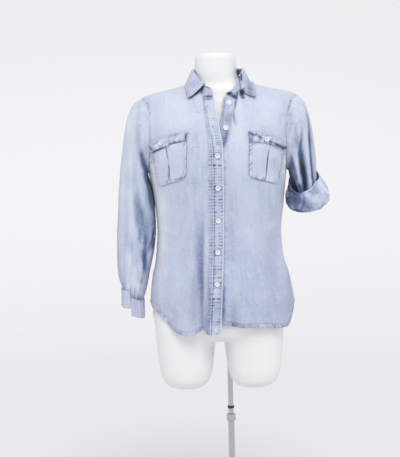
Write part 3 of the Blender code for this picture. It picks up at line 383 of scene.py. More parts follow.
# Pockets and flaps, seen from the front: their four corners as (x, z), how far the flap bows up
# in its middle, how far its lower edge stands out, and its button as a share of the flap's width
# and height.
POCKETS = {
    "right": {
        "pocket": ((-0.1660, 1.1620), (-0.0740, 1.1920), (-0.0770, 1.0880), (-0.1480, 1.0650)),
        "flap": ((-0.1685, 1.1720), (-0.0700, 1.2030), (-0.0745, 1.1790), (-0.1610, 1.1500)),
        "bow": 0.0050,
        "flare": 0.0010,
        "button": (0.30, 0.42),
    },
    "left": {
        "pocket": ((0.0800, 1.1880), (0.1730, 1.1600), (0.1530, 1.0650), (0.0760, 1.0850)),
        "flap": ((0.0780, 1.1990), (0.1755, 1.1690), (0.1720, 1.1500), (0.0800, 1.1730)),
        "bow": 0.0050,
        "flare": 0.0030,
        "button": (0.46, 0.52),
    },
}
POCKET_CORNER = 0.22     # share of the pocket's height that its rounded corners take

# Buttons on the fronts: x and z. The top two sit on the left front's band.
LEFT_BAND_BUTTONS = ((0.0330, 1.2700), (0.0235, 1.2100))
RIGHT_BAND_BUTTONS = (
    (0.0005, 1.1410), (0.0000, 1.0610), (-0.0010, 0.9790), (-0.0040, 0.8990), (-0.0080, 0.8190)
)


# Small creases of the body that the solids leave out: from one point to another as the wearer's
# front or back shows them, their width, and how far they lift (+) or press in (-) the cloth.
FRONT_CREASES = table(
    "| x0 z0 x1 z1 width depth",
    (-58.5, 1290, -42, 1230, 5, -2.6),
    (-70, 1280, -64, 1200, 7, -1.4),
    (-48, 1270, -36, 1190, 5, 1.4),
    (61, 1312, 42.5, 1240, 3.4, -3.6),
    (42.5, 1255, 47.8, 1212, 3, -3),
    (62, 1290, 54, 1200, 7, 1.8),
    (76, 1280, 73, 1215, 8, -1),
    (-179, 1150, -150, 1158, 4, -1.6),
    (-183, 1130, -156, 1120, 5, -1.8),
    (-182, 1105, -150, 1090, 6, -1.6),
    (-170, 1260, -156, 1205, 8, -1.4),
    (184, 1145, 150, 1130, 5, -1.6),
    (182, 1110, 148, 1088, 6, -1.8),
    (172, 1250, 161, 1200, 8, -1.4),
    (168, 970, 105, 942, 10, 1.3),
    (170, 930, 118, 918, 8, -1.1),
    (178, 855, 125, 875, 11, 1.2),
    (-156, 965, -104, 935, 10, 1.2),
    (-156, 925, -115, 912, 8, -1),
    (-172, 830, -125, 852, 11, 1.1),
    (-176, 770, -140, 742, 4, -1.8),
    (-164, 764, -126, 732, 4.5, 1.4),
    (-128, 760, -108, 715, 7, -1.2),
    (188, 785, 130, 770, 10, 1.2),
    (26, 790, 40, 725, 6, -1.6),
    (56, 1080, 60, 940, 12, 1),
    (98, 1030, 106, 900, 14, -1),
)
BACK_CREASES = table(
    "| x0 z0 x1 z1 width depth",
    (-170, 1220, -130, 1130, 12, -2.2),
    (175, 1220, 135, 1130, 12, -2.4),
    (-175, 1110, -120, 1070, 8, -1.8),
    (180, 1110, 125, 1075, 8, -1.6),
    (-150, 970, -85, 945, 11, 1.6),
    (154, 965, 90, 935, 11, 1.8),
    (-150, 925, -95, 920, 9, -1.4),
    (156, 920, 102, 905, 9, -1.4),
    (-60, 1270, 50, 1264, 12, -1.4),
    (-30, 1000, -25, 870, 12, -1.6),
    (30, 950, 26, 800, 11, 1.4),
)

# Pale (+) and dark (-) streaks, in the same form as the creases; depth is how strong they are.
# On the front, some are the cloth's own fading, and many are painted light and shade.
FRONT_FADES_AND_SHADING = table(
    "depth | x0 z0 x1 z1 width",
    # painted light: a pale band down the body's right side, where it turns from the light
    (0.8, -154, 1160, -150, 700, 20),
    (0.3, -118, 1120, -106, 680, 16),
    (-0.75, -58, 1130, -50, 740, 9),
    (-0.6, -65, 870, -76, 660, 11),
    (-0.45, -39, 1080, -34, 620, 13),
    (0.3, -24, 980, -22, 640, 5),
    (0.5, -100, 1300, -86, 1200, 30),
    (0.35, -160, 1260, -120, 1190, 25),
    # painted shade: dark lines in the crease hollows beside the left band, near the neck
    (-1.4, 62, 1320, 42.5, 1242, 1.8),
    (-1.2, 42, 1260, 48, 1208, 1.6),
    (0.55, 56, 1300, 48, 1020, 24),
    (0.4, 140, 1300, 130, 1200, 30),
    (0.4, 82, 1100, 86, 840, 22),
    # painted shadow beside the right band's edge, on the left front
    (-0.35, 33, 1060, 26, 640, 8),
    (-0.35, 120, 970, 105, 640, 40),
    (0.6, 170, 1080, 165, 800, 14),
    (-0.3, 178, 920, 182, 660, 9),
    # painted light: pale strokes down the body's right side by the long sleeve, against the shade of the
    # gap there
    (1, -162, 1270, -167, 1179, 8),
    (3.4, -167, 1143, -166, 1028, 8),
    (3.2, -159, 1067, -159, 884, 8),
    (1.1, -142, 1103, -144, 862, 16),
    (2.4, -176, 882, -185, 755, 7),
    (-0.3, -74, 886, -97, 705, 18),
    # painted shade in the hollow of the deep fold beside the band
    (-0.3, -40, 1057, -46, 817, 4),
    (-0.6, -44, 905, -52, 648, 4),
    (-0.4, -52, 931, -62, 654, 10),
    (0.6, -53, 1082, -56, 916, 13),
    (0.5, 29, 904, 27, 733, 16),
    # painted light on the right armhole, against the shade of the gap at the sleeve
    (1.2, -172, 1214, -174, 1107, 4),
    # painted shadow along the right front's free edge, low down
    (-0.8, 6, 854, 2, 694, 8),
    (2.2, 171, 1160, 177, 1040, 8),
    (1.2, -30, 1016, -42, 688, 5),
)
BACK_FADES = table(
    "depth | x0 z0 x1 z1 width",
    (0.5, -100, 1300, -90, 1180, 35),
    (0.5, 110, 1300, 100, 1180, 35),
    (0.6, 160, 1100, 155, 700, 18),
    (0.5, -160, 1120, -150, 720, 18),
    (-0.6, -56, 1150, -48, 700, 12),
    (-0.5, 46, 1130, 40, 720, 11),
    (0.4, 0, 1260, 6, 800, 20),
)
# pale (+) and dark (-) bands, as for the folds: on the long sleeve the dark ones by the body and in
# creases are painted shade, the rest fading
LONG_SLEEVE_FADES_AND_SHADING = table(
    "angle_start share_start angle_end share_end width depth",
    (124, -0.06, 138, 0.7, 17, -1.1),
    (162, -0.2, 162, 0.8, 20, -1.5),
    (34, 0, 44, 0.8, 13, 0.5),
    (98, 0.5, 122, 0.78, 6, 0.6),
    (152, 0.56, 124, 0.72, 5, -1.5),
    (122, 0.7, 130, 1.2, 8, -1.1),
    (86, 0.56, 82, 1.1, 5, -0.9),
    (56, 0.66, 64, 1.1, 7, 0.6),
    (205, 0, 200, 0.74, 20, -0.9),
    (252, 0.16, 266, 0.9, 12, -0.6),
    (296, 0.1, 304, 0.9, 14, 0.5),
)
# short sleeve: painted shade on its inner side and in its fold hollows, painted light on the ridges beside
# them
SHORT_SLEEVE_FADES_AND_SHADING = table(
    "angle_start share_start angle_end share_end width depth",
    (70, 0.16, 98, 0.42, 8, -0.8),
    (101, 0.06, 91, 1.2, 10, -2.3),
    (28, 0.04, 36, 0.8, 11, -0.6),
    (124, 0, 112, 1.1, 6, 0.7),
    (76, 0.24, 74, 1.2, 5, 0.6),
    (166, -0.3, 166, 1.4, 27, -2.8),
    (215, -0.2, 220, 1.4, 20, -1.6),
    (262, 0.2, 264, 1.2, 8, -1.3),
    (305, 0.2, 308, 1.2, 7, -1),
)
# turn-up: painted light and shade of the roll, dark on its inner side by the body, pale on its outer front
TURN_UP_FADES_AND_SHADING = table(
    "angle_start share_start angle_end share_end width depth",
    (172, -0.6, 160, 1.5, 30, -2.4),
    (124, -0.5, 126, 1.3, 14, -1.1),
    (88, -0.4, 104, 0.9, 16, -0.8),
    (66, 0.2, 40, 1.4, 22, 0.4),
    (60, -0.1, 22, 0.6, 7, -1.3),
    (116, 0.2, 88, 1.3, 4, -1),
    (212, -0.3, 208, 1.5, 24, -1.2),
    (280, -0.2, 300, 1.3, 14, -0.9),
)
# Narrow pale (+) and dark (-) streaks on what faces the front, in the same form as the fades and shading
# of the body; many are painted light and shade.
# long sleeve: the dark streaks along its inner side by the body are painted shade, most pale ones painted
# light; a few are the cloth's own
LONG_SLEEVE_STREAKS = table(
    "depth | x0 z0 x1 z1 width",
    (-0.4, -192, 1295, -200, 1215, 5),
    (-0.5, -200, 1240, -196, 1154, 6),
    (-1.6, -195, 1170, -184, 1103, 6),
    (-1, -186, 1134, -175, 1056, 5),
    (-1.6, -181, 1108, -167, 994, 4.5),
    (-0.8, -204, 1063, -206, 939, 9),
    (-1.1, -193, 1032, -193, 924, 8.5),
    (-1.8, -190, 965, -192, 839, 7),
    (-1.4, -193, 916, -194, 828, 6),
    (-0.8, -178, 1000, -184, 886, 7),
    (-1.6, -166, 973, -173, 889, 3.5),
    (-0.8, -246, 891, -249, 793, 4.5),
    (0.9, -228, 1278, -226, 1180, 11.5),
    (0.9, -216, 1206, -220, 1078, 8.5),
    (1, -220, 1114, -225, 888, 8),
    (0.8, -215, 1001, -216, 861, 8),
    (1.7, -227, 924, -231, 782, 9),
    (1.1, -212, 877, -220, 786, 8),
    (1.3, -206, 824, -210, 775, 9),
    (-0.8, -201, 965, -203, 911, 4.5),
    (0.9, -200, 887, -202, 813, 5),
    (0.9, -233, 830, -232, 771, 8),
    (-0.9, -246, 825, -246, 777, 4),
)
# short sleeve: painted shade in the hollows of its folds, painted light on the ridges between them
SHORT_SLEEVE_STREAKS = table(
    "depth | x0 z0 x1 z1 width",
    (-0.5, 240, 1250, 235, 1163, 3),
    (-2, 236, 1204, 239, 1117, 3.5),
    (-2.9, 238, 1148, 247, 1050, 3.5),
    (-0.8, 213, 1159, 221, 1087, 4.5),
    (-1.8, 220, 1123, 230, 1045, 3.5),
    (-0.6, 198, 1225, 207, 1154, 5),
    (-1.4, 188, 1144, 197, 1093, 5),
    (-0.9, 195, 1116, 208, 1062, 4.5),
    (-2.2, 209, 1067, 220, 1033, 4.5),
    (0.7, 201, 1164, 205, 1103, 4),
    (0.9, 215, 1092, 221, 1051, 2.5),
    (-0.4, 193, 1276, 187, 1170, 4.5),
)
# turn-up: painted shade in its hollows, and a painted light stroke on its inner edge by the body
TURN_UP_STREAKS = table(
    "depth | x0 z0 x1 z1 width",
    (-1.2, 220, 1038, 262, 1055, 10.5),
    (-1.6, 195, 1056, 201, 1028, 4.5),
    (-2, 205, 1041, 219, 1039, 4),
    (-0.2, 190, 1036, 205, 999, 8),
    (-0.5, 210, 1029, 253, 1002, 13),
    (-0.6, 227, 1029, 266, 1042, 8),
    (-1.8, 193, 996, 220, 989, 4),
    (1.5, 183, 1051, 181, 1022, 4.5),
    (0.9, 220, 1064, 221, 1050, 4),
    (-0.7, 256, 1030, 264, 1015, 7),
)
# painted shade: shadows under the collar's leaves and at the stand's ends, on the left band in the open
# neck, and in folds by the band low down
FRONT_PAINTED_SHADE = table(
    "depth | x0 z0 x1 z1 width",
    (-2.4, -68, 1286, -52, 1295, 3.5),
    (-3.5, -57, 1293, -38, 1307, 4.5),
    (-4.2, -42, 1304, -29, 1322, 5.5),
    (-2.4, -32, 1290, -1, 1288, 3),
    (-1.5, -32, 1283, -3, 1281, 2.5),
    (-1, -29, 1318, -12, 1310, 2.5),
    (-4, 26, 1302, 44, 1290, 4.5),
    (-3.2, 40, 1292, 55, 1283, 4.5),
    (-2.6, 61, 1286, 76, 1284, 3),
    (-5, 65, 1308, 68, 1286, 5),
    (-0.9, 27, 1209, 16, 1155, 7),
    (-0.6, -10, 790, -13, 699, 13),
    (-0.9, 9, 824, 6, 703, 4),
    (-0.7, -23, 830, -26, 705, 5),
)
# painted shade: down the middle of the wearer's left leaf, black wedges under it, and along the right
# leaf's lower edge
COLLAR_PAINTED_SHADE = table(
    "depth | x0 z0 x1 z1 width",
    (-0.8, 86, 1340, 84, 1275, 8.5),
    (-0.5, 92, 1319, 92, 1282, 7),
    (-4, 71, 1311, 71, 1285, 2.5),
    (-3.5, 67, 1350, 67, 1324, 2),
    (-0.3, -60, 1333, -48, 1309, 10.5),
    (-0.5, -70, 1310, -64, 1284, 5.5),
    (-3, -56, 1285, -36, 1301, 3.5),
)
# dark lines along the pockets' edges and seams, with a few pale marks; the darkest, along the flaps' lower
# edges, are painted shadow under the flaps
POCKET_STREAKS = table(
    "depth | x0 z0 x1 z1 width",
    (-2, 81, 1200, 93, 1188, 2.5),
    (-1.6, 90, 1188, 103, 1193, 2),
    (-2, 100, 1191, 115, 1178, 2.5),
    (-2.2, 113, 1180, 141, 1170, 2),
    (-3, 138, 1171, 171, 1154, 2.5),
    (-3.5, 162, 1155, 180, 1157, 2.5),
    (-1.2, 83, 1203, 129, 1193, 2),
    (1.6, 103, 1198, 113, 1192, 3),
    (1.3, 128, 1184, 139, 1180, 2.5),
    (-1.2, 77, 1171, 74, 1094, 2),
    (-1.4, 78, 1087, 148, 1065, 2),
    (-1.3, 177, 1150, 155, 1064, 2.5),
    (-1.7, 129, 1162, 119, 1074, 2),
    (-0.3, 143, 1146, 134, 1076, 13),
    (-2.4, -176, 1164, -161, 1157, 2.5),
    (-2.4, -170, 1150, -127, 1167, 2.5),
    (-1.6, -127, 1171, -76, 1183, 2),
    (-2.2, -75, 1202, -77, 1182, 2),
    (-1.3, -172, 1166, -129, 1189, 2),
    (-1, -129, 1189, -76, 1203, 2),
    (1.3, -155, 1165, -145, 1170, 3),
    (0.9, -116, 1180, -91, 1189, 2.5),
    (-1.6, -126, 1168, -120, 1128, 2),
    (-1.6, -120, 1133, -123, 1073, 2),
    (-1.1, -73, 1177, -74, 1098, 2),
    (-1.3, -75, 1093, -119, 1079, 2),
    (-1.2, -168, 1148, -151, 1067, 2),
    (-1.6, -151, 1066, -128, 1063, 2.5),
    (-2, -153, 1155, -114, 1170, 2),
    (-1.6, -170, 1169, -160, 1157, 3.5),
    (-2.6, 158, 1158, 188, 1155, 2.5),
    (-1, 172, 1147, 160, 1105, 3),
    (-0.5, -74, 1157, -74, 1103, 3.5),
)

# The display form, one row for each level. Its shoulders carry the shirt, so there its rows
# follow the shirt's body from just beneath. Under the hem it ends in two rounded stubs.
FORM = table(
    "| level z half_width centre_x front back",
    (655, 657.5, 30, -3, 40, 45),
    (659, 661.5, 65, -3, 66, 74),
    (668, 669.5, 110, -4, 84, 92),
    (685, 685, 148, -5, 98, 104),
    (705, 705, 168, -4, 107, 111),
    (730, 730, 174.5, -3, 110, 113),
    (780, 780, 168, 0, 105, 106),
    (860, 860, 142, 2, 94, 90),
    (940, 940, 125, 3, 87, 80),
    (1020, 1020, 136, 3, 94, 83),
    (1080, 1080, 149, 3, 105, 88),
    (1130, 1130, 156, 4, 112, 92),
    (1180, 1180, 160, 6, 108, 95),
    (1230, 1230, 164, 8, 94, 94),
    (1265, 1262, 169, 10, 78, 86),
    (1292, 1285, 172, 10.5, 64, 79),
    (1318, 1296.5, 166, 10, 60, 76),
    (1340, 1303.3, 153, 10, 59.5, 75.5),
    (1372, 1310.1, 124, 10, 57.5, 71),
    (1401, 1317.1, 96, 9.5, 54.5, 67),
    (1424, 1325.1, 71, 8.5, 52, 60),
    (1446, 1337, 57, 4.5, 52, 54),
    (1462, 1352, 53.5, 3.2, 52.5, 52.5),
    (1500, 1394, 53, 3, 52.5, 52.5),
    (1506, 1400, 49, 3, 49, 49),
)

STUB = table(
    "| z radius_x radius_y",
    (528, 18, 19),
    (531.5, 36, 38),
    (538.5, 50, 53),
    (553, 61.5, 66),
    (578, 69, 75),
    (610, 73.5, 82),
    (640, 76, 88),
    (672, 78.5, 94),
    (700, 79.5, 99),
    (725, 76, 98),
    (740, 60, 80),
)
STUB_CENTRES_X = (-0.0925, 0.0865)


# ---- smooth curves and surfaces ----
def smooth(at, xs, ys):
    """Monotone cubic through the points (xs, ys), so that it never overshoots a row."""
    steps = np.diff(xs)
    slopes = np.diff(ys) / steps
    product = slopes[:-1] * slopes[1:]
    total = np.where(product > 0, slopes[:-1] + slopes[1:], 1.0)
    inner = np.where(product > 0, 2 * product / total, 0.0)
    tangents = np.concatenate([slopes[:1], inner, slopes[-1:]])
    at = np.clip(at, xs[0], xs[-1])
    i = np.clip(np.searchsorted(xs, at) - 1, 0, len(xs) - 2)
    t = (at - xs[i]) / steps[i]
    t2, t3 = t * t, t * t * t
    return (
        (2 * t3 - 3 * t2 + 1) * ys[i]
        + (t3 - 2 * t2 + t) * steps[i] * tangents[i]
        + (3 * t2 - 2 * t3) * ys[i + 1]
        + (t3 - t2) * steps[i] * tangents[i + 1]
    )


def column(rows, name, at):
    """A column of a table at the given values of its first column."""
    return smooth(at, next(iter(rows.values())), rows[name])


def smoothstep(t):
    t = np.clip(t, 0.0, 1.0)
    return t * t * (3 - 2 * t)


def signed_power(value, exponent):
    return np.sign(value) * np.abs(value) ** exponent


def vectors(x, y, z):
    return np.stack(np.broadcast_arrays(x, y, z), axis=-1)


def unit(v):
    return v / np.linalg.norm(v, axis=-1, keepdims=True)


def normals(surface, a, b, step_a=0.004, step_b=0.0008):
    """Outward unit normals of surface(a, b), from its slopes."""
    along_a = surface(a + step_a, b) - surface(a - step_a, b)
    along_b = surface(a, b + step_b) - surface(a, b - step_b)
    return unit(np.cross(along_a, along_b))


LEVELS = np.linspace(BODY["level"][0], BODY["level"][-1], 3000)
LEVEL_HEIGHTS = column(BODY, "z", LEVELS)


def level_at(z):
    """The body's level at a given height."""
    return np.interp(z, LEVEL_HEIGHTS, LEVELS)


def body_depth(level, front):
    return np.where(front, column(BODY, "front", level), column(BODY, "back", level))


def bare_body(theta, level):
    """The shirt's body with no folds."""
    across, facing = np.sin(theta), np.cos(theta)
    half_width = column(BODY, "half_width", level)
    x = column(BODY, "centre_x", level) + half_width * signed_power(across, ROUNDNESS)
    y = -body_depth(level, facing > 0) * signed_power(facing, ROUNDNESS)
    return vectors(x, y, column(BODY, "z", level))


def noise(x, y, seed):
    """Smooth noise from -1 to 1, with one bump about every unit of x and of y."""
    x, y = np.broadcast_arrays(x, y)
    column_x, row_y = np.floor(x), np.floor(y)
    across, up = smoothstep(x - column_x), smoothstep(y - row_y)

    def corner(i, j):
        mixed = np.sin((column_x + i) * 127.1 + (row_y + j) * 311.7 + seed * 74.7) * 43758.5453
        return 2 * (mixed - np.floor(mixed)) - 1

    low = corner(0, 0) * (1 - across) + corner(1, 0) * across
    high = corner(0, 1) * (1 - across) + corner(1, 1) * across
    return low * (1 - up) + high * up


def ticks(along, period, sharp, seed):
    """Short bars across a sewn band, from 0 to 1, uneven in spacing and in strength."""
    turn = along / period + 0.35 * noise(along / (2.3 * period), 0 * along, seed)
    strength = np.clip(0.6 + 0.7 * noise(turn, 0 * along, seed + 1), 0, 1)
    return ((1 + np.cos(2 * np.pi * turn)) / 2) ** sharp * strength


def near(off, reach, soft):
    """1 up to a distance from an edge, and 0 from a soft width past it on."""
    return 1 - smoothstep((off - reach) / soft)


def stripe(off, start, stop):
    """1 between two distances from an edge, 0 beyond them, with soft sides."""
    soft = 0.0012
    return smoothstep((off - start) / soft + 0.5) * smoothstep((stop - off) / soft + 0.5)


def crumple(x, y, size, depth, seed):
    """Small uneven waves all over a piece of cloth, longer along y than across x."""
    coarse = noise(x / size, y / (2.2 * size), seed)
    fine = noise(x / (0.45 * size), y / size, seed + 3)
    return depth * (0.7 * coarse + 0.3 * fine)


def creases(rows, x, z):
    """How far short creases lift a surface at the point (x, z), or how much a table of streaks pales and
    darkens it: fading, and painted light and shade.
    """
    height = np.zeros(np.shape(x))
    for x0, z0, x1, z1, width, depth in zip(*(rows[name] for name in "x0 z0 x1 z1 width depth".split())):
        length = (x1 - x0) ** 2 + (z1 - z0) ** 2
        reach = np.clip(((x - x0) * (x1 - x0) + (z - z0) * (z1 - z0)) / length, 0.0, 1.0)
        distance = np.hypot(x - x0 - (x1 - x0) * reach, z - z0 - (z1 - z0) * reach)
        fade = smoothstep(reach / 0.35) * smoothstep((1 - reach) / 0.35)
        height = height + depth * np.exp(-((distance / width) ** 2)) * fade
    return height


def front_part(theta):
    """1 on the body's front, 0 on its back."""
    return smoothstep(0.5 + np.cos(theta) / 0.5)


def body_fades_and_shading(theta, level):
    """How pale or dark the body's cloth is: streaks of front and back, partly its own fading, partly
    painted light and shade.
    """
    x, z = bare_body(theta, level)[..., 0], column(BODY, "z", level)
    front = front_part(theta)
    return front * creases(FRONT_FADES_AND_SHADING, x, z) + (1 - front) * creases(BACK_FADES, x, z)


def body_folds(theta, level):
    """How far folds, creases and small waves lift the body's surface."""
    x, z = bare_body(theta, level)[..., 0], column(BODY, "z", level)
    height = crumple(np.asarray(theta) * BODY_RADIUS, level, 0.020, 0.00045, 5)
    for rows, small, share in (
        (BODY_FOLDS_FRONT, FRONT_CREASES, front_part(theta)),
        (BODY_FOLDS_BACK, BACK_CREASES, 1 - front_part(theta)),
    ):
        height = height + share * creases(small, x, z)
        for x_low, z_low, x_high, z_high, width, depth in zip(*rows.values()):
            reach = np.clip((z - z_low) / (z_high - z_low), 0.0, 1.0)
            distance = x - (x_low + (x_high - x_low) * reach)
            fade = smoothstep((1.0 - reach) / 0.6)
            if z_low > HEM_TOP_Z:
                fade = fade * smoothstep(reach / 0.3)
            height = height + share * depth * np.exp(-((distance / width) ** 2)) * fade
    return height


def body(theta, level):
    """The shirt's body: its outer surface."""
    return bare_body(theta, level) + normals(bare_body, theta, level) * body_folds(theta, level)[..., None]


def theta_at(x, level):
    """The body's angle, on its front, at a given x and level."""
    across = (x - column(BODY, "centre_x", level)) / column(BODY, "half_width", level)
    return np.arcsin(signed_power(np.clip(across, -1.0, 1.0), 1 / ROUNDNESS))


def hem_z(hem, theta):
    """Height of a hem round the body."""
    return column(hem, "z", bare_body(theta, np.full(np.shape(theta), HEM_LEVEL))[..., 0])


def from_body(points):
    """Rough distance of points from the body's surface, positive outside, and its direction."""
    power = 2 / ROUNDNESS

    def value(p):
        level = level_at(p[..., 2])
        half_width = column(BODY, "half_width", level)
        across = np.abs((p[..., 0] - column(BODY, "centre_x", level)) / half_width)
        depth = np.abs(p[..., 1] / body_depth(level, p[..., 1] < 0))
        return (across**power + depth**power) ** (1 / power) - 1

    step = 0.0005
    rises = [value(points + step * axis) - value(points - step * axis) for axis in np.eye(3)]
    slope = np.stack(rises, axis=-1) / (2 * step)
    length = np.linalg.norm(slope, axis=-1)
    return value(points) / length, slope / length[..., None]


def lift_off(points, least):
    """Moves points out until they are at least this far from the body's surface."""
    for _ in range(8):
        distance, direction = from_body(points)
        points = points + direction * np.clip(least - distance, 0.0, 0.003)[..., None]
    return points


# ---- edges and grids of the body's panels, as (angle, level) ----
def armhole(angle, side):
    """The armhole's edge: 0 at the shoulder tip, 90 degrees at the front, 180 at the armpit."""
    middle, half = (SHOULDER_TIP_Z + ARMPIT_Z) / 2, (SHOULDER_TIP_Z - ARMPIT_Z) / 2
    level = level_at(middle + half * np.cos(angle))
    front = np.sin(angle) >= 0
    reach = np.where(front, ARMHOLE_FRONT, ARMHOLE_BACK) * np.abs(np.sin(angle)) ** 0.8
    from_side = np.arcsin((reach / body_depth(level, front)) ** (1 / ROUNDNESS))
    return side * (np.pi / 2 - np.where(front, from_side, -from_side)), level


def neckline(plan_angle):
    """The neck opening's edge: an oval in plan, let down onto the body's surface."""
    front = np.cos(plan_angle) > 0
    facing = np.abs(np.cos(plan_angle))
    x = NECK_CENTRE_X + NECK_HALF_WIDTH * np.sin(plan_angle)
    y = np.where(front, NECK_FRONT * facing**0.6, NECK_BACK * facing)
    low, high = np.full(np.shape(x), UNDER_NECK_LEVEL), np.full(np.shape(x), BODY["level"][-1])
    for _ in range(40):
        level = (low + high) / 2
        across = np.abs((x - column(BODY, "centre_x", level)) / column(BODY, "half_width", level))
        outside = across ** (2 / ROUNDNESS) + (y / body_depth(level, front)) ** (2 / ROUNDNESS) > 1
        low, high = np.where(outside, low, level), np.where(outside, level, high)
    theta = theta_at(x, level)
    return np.where(front, theta, np.sign(theta) * np.pi - theta), level


SEAM_ANGLE = 0.0010      # half of a side seam's gap, as an angle at the body's side
HEM_LEVEL = 0.72         # a level near the hems, where their points are put on the body
UNDER_NECK_LEVEL = 1.20  # a level under all of the neckline
NECK_LEVEL = 1.29        # a level near the neckline's front
ARMHOLE_STEPS, SHOULDER_STEPS = 12, 4   # how a panel's upper edge is shared out


def grid(across, along):
    return np.meshgrid(np.linspace(0, 1, across + 1), np.linspace(0, 1, along + 1), indexing="ij")


def patch(left, right, bottom, top, u, v):
    """A patch between four edge curves, each a function of a share, in (angle, level)."""
    corners = {(i, j): (bottom if j == 0 else top)(0 * u + i) for i in (0, 1) for j in (0, 1)}
    return [
        (1 - u) * left(v)[k] + u * right(v)[k] + (1 - v) * bottom(u)[k] + v * top(u)[k]
        - (1 - u) * (1 - v) * corners[0, 0][k] - u * (1 - v) * corners[1, 0][k]
        - (1 - u) * v * corners[0, 1][k] - u * v * corners[1, 1][k]
        for k in (0, 1)
    ]


def side_edge(v, side, half, at_seam):
    """From the armpit up the armhole to the shoulder tip and along the shoulder to the neck."""
    tip = ARMHOLE_STEPS / (ARMHOLE_STEPS + SHOULDER_STEPS)
    up = np.clip(v / tip, 0, 1)
    theta, level = armhole(np.pi * (1 - up) if half > 0 else np.pi * (1 + up), side)
    over = np.clip((v - tip) / (1 - tip), 0, 1)
    neck_level = float(neckline(np.array(side * np.pi / 2))[1])
    on_shoulder = v > tip
    tip_level = level_at(SHOULDER_TIP_Z)
    level = np.where(on_shoulder, tip_level + (neck_level - tip_level) * over, level)
    return np.where(on_shoulder, at_seam, theta), level


def front_region(side, edge, hem, columns, low_rows, high_rows, band_columns):
    """Grid of (angle, level) for a front: its band strip and then the rest of the panel."""
    seam = side * (np.pi / 2 - SEAM_ANGLE)
    low, high = np.linspace(0, 1, low_rows + 1), np.linspace(0, 1, high_rows + 1)
    shares = np.linspace(0, 1, columns + 1)[1:]

    def line_x(level, strip_share):
        """x of a line that runs beside the free edge, at a share of the band's width."""
        return column(edge, "x", level) + side * BAND_WIDTH * strip_share

    def line_top(strip_share):
        """Where such a line meets the neckline: the plan angle and the level."""
        level = NECK_LEVEL
        for _ in range(8):
            plan = np.arcsin((line_x(level, strip_share) - NECK_CENTRE_X) / NECK_HALF_WIDTH)
            level = float(neckline(np.array(plan))[1])
        return plan, level

    def line(v, strip_share):
        """A point of such a line, from the armpit's level up to the neckline."""
        level = ARMPIT_Z + (line_top(strip_share)[1] - ARMPIT_Z) * v
        return theta_at(line_x(level, strip_share), level), level

    strip_theta, strip_level = [], []
    for strip_share in np.linspace(0, 1, band_columns + 1):
        bottom = float(hem_z(hem, theta_at(line_x(HEM_LEVEL, strip_share), HEM_LEVEL)))
        level_low = bottom + (ARMPIT_Z - bottom) * low
        theta_low = theta_at(line_x(level_low, strip_share), level_low)
        theta_high, level_high = line(high, strip_share)
        strip_theta.append(np.concatenate([theta_low, theta_high[1:]]))
        strip_level.append(np.concatenate([level_low, level_high[1:]]))

    # under the armpit's level: straight columns from the hem up
    u, v = np.meshgrid(shares, low, indexing="ij")
    start = strip_theta[-1][: low_rows + 1]
    low_theta = start + (seam - start) * u
    bottom = hem_z(hem, low_theta[:, :1])
    low_level = bottom + (ARMPIT_Z - bottom) * v

    # over it: a patch between the band's line, the armhole with the shoulder, and the neckline
    start_plan = line_top(1.0)[0]
    u, v = np.meshgrid(shares, high, indexing="ij")
    theta, level = patch(
        lambda v: line(v, 1.0),
        lambda v: side_edge(v, side, 1, seam),
        lambda u: (line(np.zeros(1), 1.0)[0] * (1 - u) + seam * u, ARMPIT_Z + 0 * u),
        lambda u: neckline(start_plan + (side * np.pi / 2 - start_plan) * u),
        u, v,
    )
    limit = np.pi / 2 - SEAM_ANGLE
    theta = np.clip(theta, -limit, limit)
    return (
        np.vstack([strip_theta, np.hstack([low_theta, theta[:, 1:]])]),
        np.vstack([strip_level, np.hstack([low_level, level[:, 1:]])]),
    )


def back_region(columns, low_rows, high_rows):
    """Grid of (angle, level) for the back, from the left side seam to the right one."""
    start, end = np.pi / 2 + SEAM_ANGLE, 3 * np.pi / 2 - SEAM_ANGLE
    low, high = np.linspace(0, 1, low_rows + 1), np.linspace(0, 1, high_rows + 1)
    shares = np.linspace(0, 1, columns + 1)

    u, v = np.meshgrid(shares, low, indexing="ij")
    low_theta = start + (end - start) * u
    bottom = hem_z(BACK_HEM, low_theta)
    low_level = bottom + (ARMPIT_Z - bottom) * v

    def left(v):
        return side_edge(v, 1, -1, start)

    def right(v):
        theta, level = side_edge(v, -1, -1, end - 2 * np.pi)
        return theta + 2 * np.pi, level

    def top(u):
        theta, level = neckline(np.pi / 2 + np.pi * u)
        return theta % (2 * np.pi), level

    u, v = np.meshgrid(shares, high, indexing="ij")
    theta, level = patch(left, right, lambda u: (start + (end - start) * u, ARMPIT_Z + 0 * u), top, u, v)
    theta = np.clip(theta, start, end)
    return np.hstack([low_theta, theta[:, 1:]]), np.hstack([low_level, level[:, 1:]])


# ---- sleeves ----
def ring(rows, angle, share):
    """A point of a sleeve's rings, before it is fitted to the armhole."""
    outer_x, outer_z, inner_x, inner_z, front, back, sag = (
        column(rows, name, share)
        for name in ("outer_x", "outer_z", "inner_x", "inner_z", "front", "back", "sag")
    )
    out, forward = np.cos(angle), np.sin(angle)
    out_share = (1 + signed_power(out, ROUNDNESS)) / 2
    depth = np.where(forward > 0, front, back) * signed_power(forward, ROUNDNESS)
    x = inner_x + (outer_x - inner_x) * out_share
    z = inner_z + (outer_z - inner_z) * out_share - sag * forward
    return vectors(x, -depth, z)


